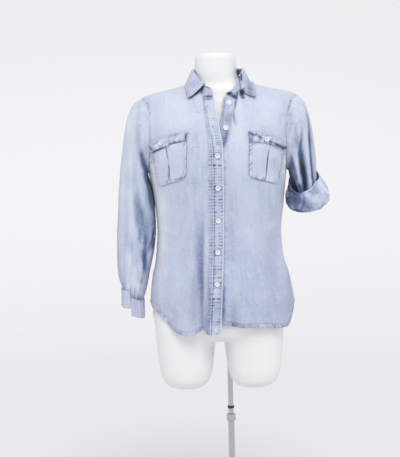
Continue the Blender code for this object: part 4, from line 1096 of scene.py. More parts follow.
def sleeve_folds(rows, angle, share):
    """How far the folds lift a sleeve's surface."""
    degrees = np.degrees(angle)
    height = np.zeros(np.shape(degrees + share))
    for angle_start, share_start, angle_end, share_end, width, depth in zip(*rows.values()):
        reach = np.clip((share - share_start) / (share_end - share_start), 0.0, 1.0)
        distance = degrees - (angle_start + (angle_end - angle_start) * reach)
        distance = (distance + 180.0) % 360.0 - 180.0
        fade = smoothstep(reach / 0.4)
        if share_end <= 1.0:
            fade = fade * smoothstep((1 - reach) / 0.4)
        height = height + depth * np.exp(-((distance / width) ** 2)) * fade
    return height


FITTED_SHARE = 0.22   # share of a sleeve over which it changes from the armhole to free rings


def sleeve(rows, folds, side):
    """A sleeve's outer surface as a function of (angle, share)."""

    def bare(angle, share):
        free = ring(rows, angle, share)
        edge = body(*armhole(angle % (2 * np.pi), side)) + vectors(side * ARMHOLE_GAP, 0.0, 0.0)
        weight = 1 - smoothstep(share / FITTED_SHARE)
        return free + (edge - ring(rows, angle, 0 * share)) * weight[..., None]

    def surface(angle, share):
        angle, share = np.broadcast_arrays(angle, share)
        outward = normals(bare, angle, np.clip(share, 0.004, 1.0), step_b=0.004) * side
        return bare(angle, share) + outward * sleeve_folds(folds, angle, share)[..., None]

    return surface


def turn_up(angle, share):
    """The turned-up sleeve end: the side away from the sleeve, starting at the sleeve's end."""
    short_sleeve = sleeve(SHORT_SLEEVE, SHORT_SLEEVE_FOLDS, 1)

    def bare(angle, share):
        free = ring(TURN_UP, angle, share)
        end, before = short_sleeve(angle, 1.0 + 0 * share), short_sleeve(angle, 0.98 + 0 * share)
        inward = normals(short_sleeve, angle, 0.98 + 0 * share, step_b=0.004)
        start = end + unit(end - before) * 2 * SEAM_GAP - inward * ROLLED_CLOTH * 0.7
        weight = 1 - smoothstep(share / TURN_UP_BLEND)
        return free + (start - ring(TURN_UP, angle, 0 * share)) * weight[..., None]

    outward = normals(bare, angle, share, step_b=0.004)
    return bare(angle, share) - outward * sleeve_folds(TURN_UP_FOLDS, angle, share)[..., None]


def cuff_slit_drop(angle):
    """How far the cuff and the sleeve's end hang down, going round from the slit."""
    turned = (np.degrees(angle) - CUFF_SLIT_ANGLE) % 360.0 / 360.0
    return CUFF_DROP * (1 - turned)


def front_sink(side, theta, level):
    """How far a front lies below the body's surface: the left one sinks in under the right one."""
    x = bare_body(theta, level)[..., 0]
    return (side > 0) * FRONT_STEP * near(x, 0.030, 0.035) * near(level, 1.215, 0.060)


def quad(corners, u, v):
    """A point inside four corners given in order, u along the first side, v down."""
    (ax, az), (bx, bz), (cx, cz), (dx, dz) = corners
    x = (1 - v) * ((1 - u) * ax + u * bx) + v * ((1 - u) * dx + u * cx)
    z = (1 - v) * ((1 - u) * az + u * bz) + v * ((1 - u) * dz + u * cz)
    return x, z


def flap_surface(shapes, u, v):
    """The flap's outer side, its lower edge standing out in a shallow wave."""
    x, z = quad(shapes["flap"], u, v)
    z = z + shapes["bow"] * 4 * u * (1 - u)
    flare = shapes["flare"] * v * (1 + 0.8 * np.sin(2 * np.pi * (1.6 * u + 0.1)))
    return theta_at(x, z), z, POCKET_GAP + 2 * CLOTH + 2 * SEAM_GAP + flare


def cuff_surface(angle, down):
    """The cuff's outer side at an angle round it, from its top (0) to its lower edge (1)."""
    end = sleeve(LONG_SLEEVE, LONG_SLEEVE_FOLDS, -1)(angle, 1.0 + 0 * angle)
    middle = ring(LONG_SLEEVE, np.radians(np.array([0.0, 180.0])), np.ones(2)).mean(axis=0)
    outwards = unit(vectors(end[..., 0] - middle[0], end[..., 1] - middle[1], 0.0))
    spread = DOUBLE_CLOTH + 2 * SEAM_GAP + 0.0008 * down
    fall = cuff_slit_drop(angle) - CUFF_OVERLAP + CUFF_HEIGHT * down
    return end + outwards * spread[..., None] - vectors(0.0, 0.0, fall)


def stand_surface(share, up):
    """The collar stand's outer side."""
    plan = np.radians(STAND_START - (360.0 + STAND_START - STAND_END) * share)
    base = bare_body(*neckline((plan + np.pi) % (2 * np.pi) - np.pi))
    outwards = unit(vectors(base[..., 0] - NECK_CENTRE_X, base[..., 1], 0.0))
    height = 2 * SEAM_GAP + column(STAND, "height", share) * up
    inwards = 2 * SEAM_GAP + column(STAND, "lean", share) * up
    return base - outwards * inwards[..., None] + vectors(0.0, 0.0, height)


def collar_surface(share, down):
    """The collar's upper side, from inside the stand's top (0), over the turn, to its edge (1)."""
    whole = 360.0 + STAND_START - STAND_END
    first, last = (STAND_START - COLLAR_START) / whole, (360.0 + STAND_START - COLLAR_END) / whole
    top = stand_surface(first + (last - first) * share, np.ones(np.shape(share)))
    outwards = unit(vectors(top[..., 0] - NECK_CENTRE_X, top[..., 1], 0.0))
    step = np.clip(down / TURN_SHARE, 0, 1) * COLLAR_TURN["step"][-1]
    over = top + outwards * column(COLLAR_TURN, "out", step)[..., None]
    over = over + vectors(0.0, 0.0, column(COLLAR_TURN, "up", step))
    fall = np.clip((down - TURN_SHARE) / (1 - TURN_SHARE), 0, 1)[..., None]
    edge = vectors(*(column(COLLAR, f"edge_{axis}", share) for axis in "xyz"))
    sway = vectors(column(COLLAR, "sway_x", share), 0.0, column(COLLAR, "sway_z", share))
    leaf = over + (edge - over) * fall + (sway + outwards * 0.0012) * np.sin(np.pi * fall)
    return np.where(fall > 0, lift_off(leaf, DOUBLE_CLOTH + 0.0010), over)


# ---- cloth as a fine grid of points ----
def faces_front(points):
    """1 on what faces the front, 0 on the back of a sleeve or of the body."""
    return smoothstep(0.5 - points[..., 1] / 0.04)


class Cloth:
    """A piece of cloth: a grid of points on its outer side, and how worn it is at each, with painted light
    and shade added into that same value.
    """

    def __init__(self, points, sign, closed=False):
        self.points, self.sign, self.closed = points, sign, closed
        self.wear_and_shade = np.zeros(points.shape[:2])
        # the inner side is paler, as denim's reverse is; the stand and the collar set it dark as painted
        # shade
        self.inside_wear_and_shade = 0.25

    def normals(self):
        if self.closed:
            across = np.roll(self.points, -1, 0) - np.roll(self.points, 1, 0)
        else:
            across = np.gradient(self.points, axis=0)
        return self.sign * unit(np.cross(across, np.gradient(self.points, axis=1)))

    def press(self, height, shade=0.0):
        """Lifts (+) or presses in (-) the cloth. With a shade, ridges go pale and hollows dark."""
        self.points = self.points + self.normals() * height[..., None]
        self.wear_and_shade = self.wear_and_shade + shade * height

    def streak(self, rows):
        """Adds a table's dark (-) and pale (+) streaks to what faces the front: some the cloth's own, many
        painted light and shade.
        """
        shade = creases(rows, self.points[..., 0], self.points[..., 2])
        self.wear_and_shade = self.wear_and_shade + shade * faces_front(self.points)

    def groove(self, off, insets, shade):
        """Presses a stitched line into the cloth at each distance from an edge."""
        self.press(sum(ridge(off, inset, 0.0009, -0.0003) for inset in insets), shade)

    def tuck(self, line, beside, on, inwards):
        """Draws an end of a sleeve on and in, under what it is sewn to."""
        ahead = unit(self.points[:, line] - self.points[:, beside])
        self.points[:, line] += ahead * on - self.normals()[:, line] * inwards

    def distance(self, axis, last=False):
        """How far each point lies from an edge, along an axis of the grid."""
        steps = np.linalg.norm(np.diff(self.points, axis=axis), axis=-1)
        run = np.insert(np.cumsum(steps, axis=axis), 0, 0.0, axis=axis)
        return np.take(run, [-1], axis=axis) - run if last else run

    def nearest(self, *edges):
        """Distance from the nearest of some edges."""
        return np.min([self.distance(*edge) for edge in edges], axis=0)

    def row(self, axis, inset, last=False, start=0.0, stop=1.0):
        """Points and normals of a line at a given distance from one edge, for stitches."""
        run, points, normals = self.distance(axis, last), self.points, self.normals()
        if axis == 0:
            run, points, normals = run.T, points.swapaxes(0, 1), normals.swapaxes(0, 1)
        if last:
            run, points, normals = run[:, ::-1], points[:, ::-1], normals[:, ::-1]
        count = len(run) - 1
        lines = np.arange(round(start * count), round(stop * count) + 1)
        where = np.array([np.interp(inset, run[i], np.arange(run.shape[1])) for i in lines])
        low = np.minimum(where.astype(int), run.shape[1] - 2)
        share = (where - low)[:, None]
        return [
            values[lines, low] * (1 - share) + values[lines, low + 1] * share
            for values in (points, normals)
        ]


def ridge(off, middle, width, height):
    return height * np.exp(-(((off - middle) / width) ** 2))


# ---- meshes ----
def new_mesh(name, points, faces, material):
    """A shown object of triangles or quads that rides on the one body."""
    mesh = bpy.data.meshes.new(name)
    mesh.vertices.add(len(points))
    mesh.vertices.foreach_set("co", np.asarray(points, np.float32).ravel())
    mesh.loops.add(faces.size)
    mesh.loops.foreach_set("vertex_index", faces.ravel().astype(np.int32))
    mesh.polygons.add(len(faces))
    mesh.polygons.foreach_set("loop_start", (np.arange(len(faces)) * faces.shape[1]).astype(np.int32))
    mesh.update(calc_edges=True)
    mesh.shade_smooth()
    mesh.materials.append(material)
    obj = bpy.data.objects.new(name, mesh)
    bpy.context.scene.collection.objects.link(obj)
    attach(obj, "root")
    return obj


def shell(name, cloth, thick, material, bolt):
    """A closed thin shell of cloth. bolt gives each point's place on the flat cloth."""
    across, along = cloth.points.shape[:2]
    inner = cloth.points - cloth.normals() * thick
    spans = across if cloth.closed else across - 1
    # corners holds each face's four points as columns, rows and layers: outer and inner side first
    cells = np.meshgrid(np.arange(spans), np.arange(along - 1), indexing="ij")
    i, j = (index.ravel() for index in cells)
    corners = [(np.stack([i, i + 1, i + 1, i], 1), np.stack([j, j, j + 1, j + 1], 1), [0, 0, 0, 0])]
    corners.append((corners[0][0][:, ::-1], corners[0][1][:, ::-1], [1, 1, 1, 1]))
    # then the rims along both ends, and along both sides if the grid isn't closed
    line = np.arange(spans)
    rim = np.stack([line, line, line + 1, line + 1], 1)
    for edge, layers in ((0, [0, 1, 1, 0]), (along - 1, [1, 0, 0, 1])):
        corners.append((rim, np.full((spans, 4), edge), layers))
    line = np.arange(along - 1)
    rim = np.stack([line, line + 1, line + 1, line], 1)
    for edge, layers in () if cloth.closed else ((0, [0, 0, 1, 1]), (across - 1, [1, 1, 0, 0])):
        corners.append((np.full((along - 1, 4), edge), rim, layers))
    layer = np.concatenate([np.tile(layers, (len(part), 1)) for part, _, layers in corners])
    i, j = (np.concatenate([part[k] for part in corners]) for k in (0, 1))
    if cloth.sign < 0:
        i, j, layer = i[:, ::-1], j[:, ::-1], layer[:, ::-1]
    points = np.concatenate([cloth.points.reshape(-1, 3), inner.reshape(-1, 3)])
    obj = new_mesh(name, points, layer * across * along + (i % across) * along + j, material)
    place = np.stack([bolt[0][i, j], bolt[1][i, j], np.zeros(i.shape)], -1)
    # real wear together with painted light and shade, for the outer side and the inner side
    wear_and_shade = np.concatenate([cloth.wear_and_shade, 0.3 * cloth.wear_and_shade + cloth.inside_wear_and_shade])
    for attribute, kind, domain, field, values in (
        ("bolt", "FLOAT_VECTOR", "CORNER", "vector", place),
        ("wear_and_shade", "FLOAT", "POINT", "value", wear_and_shade),
    ):
        stored = obj.data.attributes.new(attribute, kind, domain)
        stored.data.foreach_set(field, values.astype(np.float32).ravel())
    obj.data.set_sharp_from_angle(angle=SHARP_ANGLE)
    return obj


STITCH_FACES = np.array(
    [(0, 2, 1), (0, 3, 2), (0, 4, 3), (0, 1, 4), (9, 5, 6), (9, 6, 7), (9, 7, 8), (9, 8, 5)]
    + [(a, b, b + 4) for a, b in ((1, 2), (2, 3), (3, 4), (4, 1))]
    + [(a, b + 4, a + 4) for a, b in ((1, 2), (2, 3), (3, 4), (4, 1))]
)


def sew(name, rows, material):
    """Rows of small raised stitches along lines of points, as one piece of thread."""
    points, faces, count = [], [], 0
    for line, normals in rows:
        run = np.insert(np.cumsum(np.linalg.norm(np.diff(line, axis=0), axis=1)), 0, 0.0)
        starts = np.arange(int(run[-1] / (STITCH + STITCH_GAP))) * (STITCH + STITCH_GAP)
        first, second, up = (
            np.stack([np.interp(where, run, values[:, k]) for k in range(3)], -1)
            for values, where in ((line, starts), (line, starts + STITCH), (normals, starts + STITCH / 2))
        )
        up = unit(up)
        side = np.cross(unit(second - first), up)
        rings = [first - up * THREAD]
        for share in (0.2, 0.8):
            middle = first + (second - first) * share + up * 0.4 * THREAD
            rings += [middle + THREAD * (a * side + b * up) for a, b in ((1, 0), (0, 1), (-1, 0), (0, -1))]
        rings.append(second - up * THREAD)
        points.append(np.stack(rings, 1).reshape(-1, 3))
        faces.append((STITCH_FACES + 10 * np.arange(len(starts))[:, None, None]).reshape(-1, 3) + count)
        count += 10 * len(starts)
    return new_mesh(name, np.concatenate(points), np.concatenate(faces), material)


# ---- the shirt's pieces ----
FOLD_WEAR_AND_SHADE = 80.0         # how much darker a fold's hollow and paler its ridge, per metre of depth: fading, and painted shade in hollows
COLLAR_LIFT = 0.006      # how far the points of the collar stand off the shirt
COLLAR_POINTS = (0.014, 0.007)          # how far its two ends are cut back, as shares of it
ROLL_RISE, ROLL_RISE_ANGLE = 0.012, 50.0   # how much higher the roll's rim is, and where round it
SLEEVE_PRESS = 0.0017    # how far the long sleeve's inner side leans out to the body
BUTTONHOLES = (1.2130, 1.2640)          # heights of the two that show, unbuttoned, on the right band
BAR_SHADE = 2800         # how dark the bottoms of the bars across a sewn edge are
LEFT_BAND_SHOWN = 0.35   # how strong the bars are on the left front, which lies beneath

# Small waves along the seams, in millimetres: their period, depth and reach off the seam.
PUCKERS = {
    "hem": (7.5, 1.0, 11.0),
    "side": (8.5, 0.6, 9.5),
    "band": (6.0, 0.4, 6.0),
    "neck": (10.0, 0.4, 8.0),
    "back_side": (9.0, 0.6, 10.0),
    "pocket": (6.0, 0.7, 6.5),
    "armhole": (8.0, 0.6, 9.0),
    "roll_rim": (9.0, 0.8, 7.0),
    "cuff": (6.0, 0.5, 6.0),
    "stand": (6.0, 0.3, 4.0),
    "collar": (6.0, 0.4, 6.0),
}
# Bars across sewn edges: their period in millimetres, how narrow they are, and between which
# distances from the edge they lie, in millimetres.
BARS = {
    "hem": (8.0, 1.5, 1.2, 8.5),
    "armhole": (8.0, 1.2, 1.0, 8.5),
    "pocket": (9.5, 2.2, 1.2, 9.5),
    "flap": (5.8, 1.6, 1.0, 8.0),
}
SIDES = ((0, False), (0, True))         # edges of a grid: its axis, and whether it is the last line
LAST_END = (1, True)
FRONTS = (
    ("right", -1, RIGHT_FRONT_EDGE, RIGHT_HEM, 11),
    ("left", 1, LEFT_FRONT_EDGE, LEFT_HEM, 12),
)
MATERIALS = {}


def add_cloth(name, cloth, bolt, rows=(), thick=SHELL, slot="denim", solids=()):
    """Shows a piece in place of the solids given, or of the one with its own name."""
    obj = shell(name + "_cloth", cloth, thick, MATERIALS[slot], bolt)
    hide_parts(*(solids or [name]))
    threads = [sew(name + "_stitches", rows, MATERIALS["thread"])] if rows else []


def puckers(seam, along, off, seed):
    """Small waves along a seam that die out with the distance off from it."""
    period, depth, reach = (size * MM for size in PUCKERS[seam])
    return depth * noise(along / period, off / (3 * period), seed) * np.exp(-((off / reach) ** 2))


def edge_bars(edge, along, off, seed):
    """The bars across one of the sewn edges."""
    period, sharp, start, stop = BARS[edge]
    return ticks(along, period * MM, sharp, seed) * stripe(off, start * MM, stop * MM)


def on_body(theta, level, out, sign, fade=1.0):
    """Cloth that lies this far out from the body's surface, worn and faded as the body is, with the same
    painted light and shade in its folds and streaks; fade scales the streaks.
    """
    cloth = Cloth(body(theta, level) + normals(body, theta, level) * out[..., None], sign)
    # fold hollows darkened, partly as fading and partly as painted shade, then the body's streaks laid on
    cloth.wear_and_shade = FOLD_WEAR_AND_SHADE * body_folds(theta, level) + fade * body_fades_and_shading(theta, level)
    return cloth


def hem_relief(cloth, seed):
    """A narrow rolled hem: thicker, with a stitched groove, and roped all along."""
    off, along = cloth.distance(1), cloth.distance(0)
    cloth.press(0.0006 * near(off, 0.0070, 0.0015) + ridge(off, 0.0088, 0.0013, -0.0006))
    cloth.press(puckers("hem", along + 0.8 * off, off, seed), 700)
    cloth.wear_and_shade = cloth.wear_and_shade - 1.3 * edge_bars("hem", along, off, seed)
    cloth.wear_and_shade = cloth.wear_and_shade - ridge(off, 0.0092, 0.0014, 0.8) - 0.7 * near(off, 0.0, 0.0025)


def rungs(level):
    """The bars across the bands and the cloth beside them, closer together at the chest."""
    run = (level + 0.5 * np.maximum(level - 1.14, 0)) / 0.0080
    turn = run + 0.5 * noise(level / 0.021, 0 * level, 15)
    return ((1 + np.cos(2 * np.pi * turn)) / 2) ** 2 * (0.8 + 0.3 * noise(turn, 0 * level, 16))


def build_front(side_name, side, edge, hem, seed):
    strips, low_rows, high_rows = 12, 270, 150
    theta, level = front_region(side, edge, hem, 78, low_rows, high_rows, strips)
    cloth = on_body(theta, level, -front_sink(side, theta, level), side)
    from_band, from_side = cloth.distance(0) - BAND_WIDTH, cloth.distance(0, True)
    up, from_neck = cloth.distance(1), cloth.distance(1, True)
    hem_relief(cloth, seed)
    relief = puckers("side", up, from_side, seed + 1)
    relief = relief + puckers("band", up, from_band, seed + 2)
    relief = relief + puckers("neck", cloth.distance(0), from_neck, seed + 3)
    beside_band = smoothstep((from_band + 0.004) / 0.004)
    cloth.press(relief * beside_band, 1100)
    fringe = (side < 0) * rungs(level) * stripe(from_band, 0.0006, 0.0085)
    armhole_bars = edge_bars("armhole", up, from_side, seed + 9) * smoothstep((level - 1.17) / 0.06)
    cloth.press(-0.0004 * (fringe + 1.3 * armhole_bars), BAR_SHADE)
    shown = 1.0 if side < 0 else LEFT_BAND_SHOWN
    # a dark stitched line off the band, and painted shadow beside the band's raised edge
    seam_line_and_step_shadow = ridge(from_band, 0.0095, 0.0011, 0.5) + ridge(from_band, 0.0, 0.0012, 0.7)
    cloth.wear_and_shade = cloth.wear_and_shade - shown * seam_line_and_step_shadow
    cloth.streak(FRONT_PAINTED_SHADE)
    armhole_start = low_rows / (low_rows + high_rows)
    rows = [
        cloth.row(1, 0.0092, start=strips / 90),
        cloth.row(0, 0.0075, True, armhole_start, armhole_start + 0.285),
        cloth.row(0, 0.0040, True, 0.93, 0.99),
    ]
    add_cloth(f"front_{side_name}", cloth, (theta * BODY_RADIUS, level), rows)


def band_bars(left, level, seed):
    """The close bars on a band, broken and uneven, in two stripes and faintly between them."""
    broken = np.clip(0.65 + 0.9 * noise(left / 0.009, level / 0.009, seed), 0, 1.2)
    stripes = stripe(left, 0.0010, 0.0105) + stripe(left, 0.0150, 0.0262)
    stripes = stripes + 0.25 * stripe(left, 0.0105, 0.0150)
    return rungs(level + 0.0012 * noise(left / 0.010, level / 0.02, 17)) * broken * stripes


def build_band(side_name, side, edge, hem, seed):
    columns = 26
    theta, level = front_region(side, edge, hem, 1, 380, 190, columns)
    theta, level = theta[: columns + 1], level[: columns + 1]
    out = SEAM_GAP + CLOTH - front_sink(side, theta, level)
    band = on_body(theta, level, out, side, 0.4)
    left, right = band.distance(0, side < 0), band.distance(0, side > 0)
    off, up = np.minimum(left, right), band.distance(1)
    waves = 0.0005 * noise(up / 0.013, left / 0.02, seed + 5)
    band.press(waves * smoothstep(off / 0.004), 500)
    shown = 1.0 if side < 0 else LEFT_BAND_SHOWN
    band.press(-0.0006 * shown * band_bars(left, level, seed), BAR_SHADE)
    band.press(ridge(left, 0.0047, 0.0008, -0.0002) + ridge(right, 0.0050, 0.0008, -0.0003), 2600)
    pale_edge = 0.35 + 0.5 * near(right, 0.0030, 0.0020) - 1.1 * ridge(left, 0.0052, 0.0011, 1.0)
    # painted shadow where the band steps down to the cloth beside it
    band_step_shadow = 0.3 * near(left, 0.0, 0.0016)
    # the left band, lying beneath the right one, is darkened by 0.45 as painted shade
    band.wear_and_shade = band.wear_and_shade + shown * pale_edge - band_step_shadow - 0.45 * (side > 0)
    band.streak(FRONT_PAINTED_SHADE)
    if side < 0:
        mark_buttonholes(band, level, left - BAND_WIDTH / 2)
    rows = [band.row(0, 0.0024, side < 0), band.row(0, 0.0034, side > 0), band.row(1, 0.0070)]
    add_cloth(f"band_{side_name}", band, (theta * BODY_RADIUS + 0.3, level), rows, slot="denim_band")


def mark_buttonholes(band, level, across):
    """The open buttonholes as dark slits with painted shade in their openings, and a painted shadow round
    each fastened button.
    """
    for height in BUTTONHOLES:
        # painted shade in the opening of each unbuttoned buttonhole
        slit = stripe(np.abs(level - height), -1.0, 0.0040) * np.exp(-((across / 0.0010) ** 2))
        band.wear_and_shade = band.wear_and_shade - 1.6 * slit
    for button_x, button_z in RIGHT_BAND_BUTTONS:
        away = np.hypot(band.points[..., 0] - button_x, band.points[..., 2] - button_z)
        # painted shadow: a dark ring on the band round each button
        band.wear_and_shade = band.wear_and_shade - ridge(away, 1.12 * BUTTON_RADIUS, 0.0013, 1.0)


def build_back():
    low_rows, high_rows = 110, 56
    theta, level = back_region(110, low_rows, high_rows)
    cloth = on_body(theta, level, 0 * theta, 1)
    along, off = cloth.distance(1), cloth.nearest(*SIDES)
    hem_relief(cloth, 21)
    relief = puckers("back_side", along, off, 22)
    relief = relief + puckers("neck", cloth.distance(0), cloth.distance(1, True), 23)
    cloth.press(relief, 550)
    rows = [cloth.row(1, 0.0088)]
    armpit = low_rows / (low_rows + high_rows)
    for last in (False, True):
        rows.append(cloth.row(0, 0.0055, last, 0.0, armpit))
        rows.append(cloth.row(0, 0.0075, last, armpit, armpit + 0.25))
    add_cloth("back", cloth, (theta * BODY_RADIUS, level), rows)


def build_pocket(side, shapes, seed):
    u, v = grid(60, 66)
    corner = np.clip((v - 1 + POCKET_CORNER) / POCKET_CORNER, 0, 1)
    inset = 0.12 * (1 - np.sqrt(1 - 0.98 * corner**2))
    x, z = quad(shapes["pocket"], inset + (1 - 2 * inset) * u, v)
    theta = theta_at(x, z)
    cloth = Cloth(body(theta, z) + normals(body, theta, z) * (POCKET_GAP + CLOTH), -1)
    off = cloth.nearest(*SIDES, LAST_END)
    along = cloth.distance(1) + cloth.distance(0)
    middle = cloth.distance(0) - cloth.distance(0)[-1:] / 2
    pleat = middle + 0.0012 * np.sin(9 * v + seed)
    cloth.wear_and_shade = 0.35 + 0.5 * body_fades_and_shading(theta, z)
    cloth.streak(POCKET_STREAKS)
    cloth.press(0.0014 * smoothstep((off - 0.006) / 0.030) * smoothstep(1.2 - v))
    cloth.press(ridge(pleat, 0.0, 0.0012, -0.0009) + ridge(pleat, 0.0024, 0.0014, 0.0005), 1600)
    cloth.groove(off, (0.0022, 0.0086), 1200)
    cloth.press(puckers("pocket", along, off - 0.004, seed), 900)
    cloth.press(-0.0004 * edge_bars("pocket", along, off, seed + 4), BAR_SHADE)
    cloth.press(crumple(x, z, 0.012, 0.0006, seed + 1), 500)
    cloth.wear_and_shade = cloth.wear_and_shade - 1.4 * near(off, 0.0, 0.0020)
    rows = []
    for inset in (0.0022, 0.0080):
        rows += [cloth.row(0, inset, last, 0.0, 0.93 - 4 * inset) for last in (False, True)]
        rows.append(cloth.row(1, inset, True, 0.08 + 3 * inset, 0.92 - 3 * inset))
    add_cloth(f"pocket_{side}", cloth, (x, z + 0.4), rows)


def build_flap(side, shapes, seed):
    u, v = grid(72, 22)
    theta, level, out = flap_surface(shapes, u, v)
    flap = Cloth(body(theta, level) + normals(body, theta, level) * out[..., None], -1)
    off = flap.nearest(*SIDES, LAST_END)
    along = flap.distance(0) + 0.5 * flap.distance(1)
    if side == "left":
        curl = smoothstep((u - 0.72) / 0.28) * v
    else:
        curl = 0.25 * smoothstep((0.25 - u) / 0.25) * v
    flap.press(0.0045 * curl)
    flecks = np.clip(noise(along / 0.0030, flap.distance(1) / 0.0026, seed + 8) - 0.35, 0, 1)
    flap.wear_and_shade = -0.20 + 0.4 * (side == "right") + 1.6 * flecks
    flap.streak(POCKET_STREAKS)
    flap.press(noise(along / 0.0075, v * 1.2, seed + 2) * (0.0004 + 0.0012 * v), 700)
    flap.press(-0.0004 * edge_bars("flap", along, off, seed + 3), 2600)
    flap.groove(off, (0.0022, 0.0070), 1200)
    flap.wear_and_shade = flap.wear_and_shade - 1.2 * near(off, 0.0, 0.0022)
    rows = []
    for inset in (0.0022, 0.0070):
        rows += [flap.row(0, inset, last, 0.05, 0.96 - 6 * inset) for last in (False, True)]
        rows.append(flap.row(1, inset, True, 3 * inset, 1 - 3 * inset))
    rows.append(flap.row(1, 0.0025, False, 0.02, 0.98))
    bolt = (shapes["pocket"][0][0] + u * 0.1, v * 0.03)
    add_cloth(f"pocket_flap_{side}", flap, bolt, rows, slot="denim_band")


def tube(surface, around, shares):
    """Points of a closed grid round a sleeve, and the angle and share of each with the seam twice."""
    turns = np.arange(around + 1) * 2 * np.pi / around
    angle, share = np.meshgrid(turns, shares, indexing="ij")
    return angle, share, surface(angle[:-1], share[:-1])


def crumple_round(points, across, along, size, depth, seed):
    """Crumples round a sleeve: its back has other waves than its front."""
    front = faces_front(points)
    front_waves, back_waves = (crumple(across, along, size, depth, seed + k) for k in (0, 1))
    return front * front_waves + (1 - front) * back_waves


def build_sleeve(name, rows, folds, fades_and_shading, streaks, side, around, rings, length, seed):
    """A sleeve. The right one, on side -1, is long and runs into the cuff."""
    angle, share, points = tube(sleeve(rows, folds, side), around, np.linspace(0, 1, rings + 1) ** 1.08)
    bolt = (angle * 0.045, share * length)
    angle, share = angle[:-1], share[:-1]
    if side < 0:
        drop = cuff_slit_drop(angle) * smoothstep((share - 0.86) / 0.14)
        points = points - vectors(0.0, 0.0, drop)
    cloth = Cloth(points, side, closed=True)
    # fold hollows darkened and the sleeve's bands laid on: fading, painted light and painted shade
    cloth.wear_and_shade = FOLD_WEAR_AND_SHADE * sleeve_folds(folds, angle, share) + sleeve_folds(fades_and_shading, angle, share)
    cloth.streak(streaks)
    waves = crumple_round(points, points[..., 0], points[..., 2], 0.014, 0.0008, seed)
    shoulder, end = cloth.distance(1), cloth.distance(1, True)
    cloth.press(waves * smoothstep(share / 0.06), 180)
    if side < 0:
        inner = np.exp(-(((np.degrees(angle) - 180) / 30) ** 2))
        upper = smoothstep((share - 0.04) / 0.1) * smoothstep((0.46 - share) / 0.08)
        cloth.press(SLEEVE_PRESS * inner * upper)
    turned = np.sin(angle) + 2.2 * np.cos(angle)
    gathers = puckers("armhole", turned * 0.05, shoulder, seed + 2)
    cloth.press(gathers * smoothstep(shoulder / 0.002), 550)
    if side < 0:
        gathers = ticks(turned * 0.05, 0.0078, 1.5, seed + 4) * near(end, 0.006, 0.014)
        cloth.press(-0.0007 * gathers, 1400)
    stitches = [[np.concatenate([values, values[:1]]) for values in cloth.row(1, 0.0020)]]
    cloth.tuck(0, 1, 0.0020, 0.0018)
    if side < 0:
        cloth.tuck(-1, -2, 0.0030, 0.0012)
    solids = [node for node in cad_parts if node.startswith(name) and "turn_up" not in node]
    add_cloth(name, cloth, bolt, stitches, solids=solids)


def build_sleeves():
    build_sleeve(
        "sleeve_right", LONG_SLEEVE, LONG_SLEEVE_FOLDS, LONG_SLEEVE_FADES_AND_SHADING, LONG_SLEEVE_STREAKS,
        side=-1, around=140, rings=230, length=0.50, seed=41,
    )
    build_sleeve(
        "sleeve_left", SHORT_SLEEVE, SHORT_SLEEVE_FOLDS, SHORT_SLEEVE_FADES_AND_SHADING, SHORT_SLEEVE_STREAKS,
        side=1, around=150, rings=120, length=0.24, seed=42,
    )


def build_turn_up():
    angle, share, points = tube(turn_up, 168, np.linspace(0, 1, 71))
    turned, along = angle[:-1], share[:-1]
    outside = smoothstep((along - 0.20) / 0.15)
    from_rise = (np.degrees(turned) - ROLL_RISE_ANGLE + 180) % 360 - 180
    rise = ROLL_RISE * np.exp(-((from_rise / 42) ** 2)) * smoothstep((along - 0.45) / 0.55)
    points = points + vectors(-0.25 * rise, 0.45 * rise, rise)
    cloth = Cloth(points, -1, closed=True)
    cloth.press(0.0015 * outside)
    fades_and_shading, folds = (sleeve_folds(rows, turned, along) for rows in (TURN_UP_FADES_AND_SHADING, TURN_UP_FOLDS))
    # the roll's painted light and shade, and its fold hollows darkened
    cloth.wear_and_shade = fades_and_shading + FOLD_WEAR_AND_SHADE * folds
    cloth.streak(TURN_UP_STREAKS)
    x, y, z = (points[..., k] for k in range(3))
    cloth.press(crumple_round(points, z, x, 0.015, 0.0030, 51) * outside, 220)
    cloth.press(crumple(x + z, 0.6 * (x - z) + y, 0.0060, 0.0008, 54) * outside, 700)
    rim = cloth.distance(1, True)
    cloth.press(puckers("roll_rim", turned * 0.055, rim, 53), 700)
    cloth.wear_and_shade = cloth.wear_and_shade + 0.5 * near(rim, 0.0, 0.0030) - ridge(rim, 0.0065, 0.0012, 0.5)
    add_cloth("sleeve_left_turn_up", cloth, (angle * 0.055, share * 0.09 + 0.7), (), 0.0020)


def build_cuff():
    turns = np.radians(np.linspace(CUFF_SLIT_ANGLE + 1.0, CUFF_SLIT_ANGLE + 359.0, 140))
    angle, down = np.meshgrid(turns, np.linspace(0, 1, 36), indexing="ij")
    cloth = Cloth(cuff_surface(angle, down), 1)
    along, off = cloth.distance(0), cloth.nearest(*SIDES, (1, False), LAST_END)
    cloth.wear_and_shade = cloth.wear_and_shade + 0.85
    cloth.press(crumple(along, down * 0.05, 0.013, 0.0007, 61), 400)
    gathers = ticks(along, 0.0085, 1.8, 63) * near(cloth.distance(1), 0.0090, 0.0060)
    cloth.press(-0.0006 * gathers, BAR_SHADE)
    cloth.press(puckers("cuff", along, off, 62), 550)
    cloth.groove(off, (0.0030,), 400)
    rows = [cloth.row(1, 0.0030), cloth.row(1, 0.0030, True)]
    rows += [cloth.row(0, 0.0030, last, 0.08, 0.92) for last in (False, True)]
    add_cloth("cuff_right", cloth, (angle * 0.035, down * 0.05 + 0.9), rows, 0.0015, "denim_band")


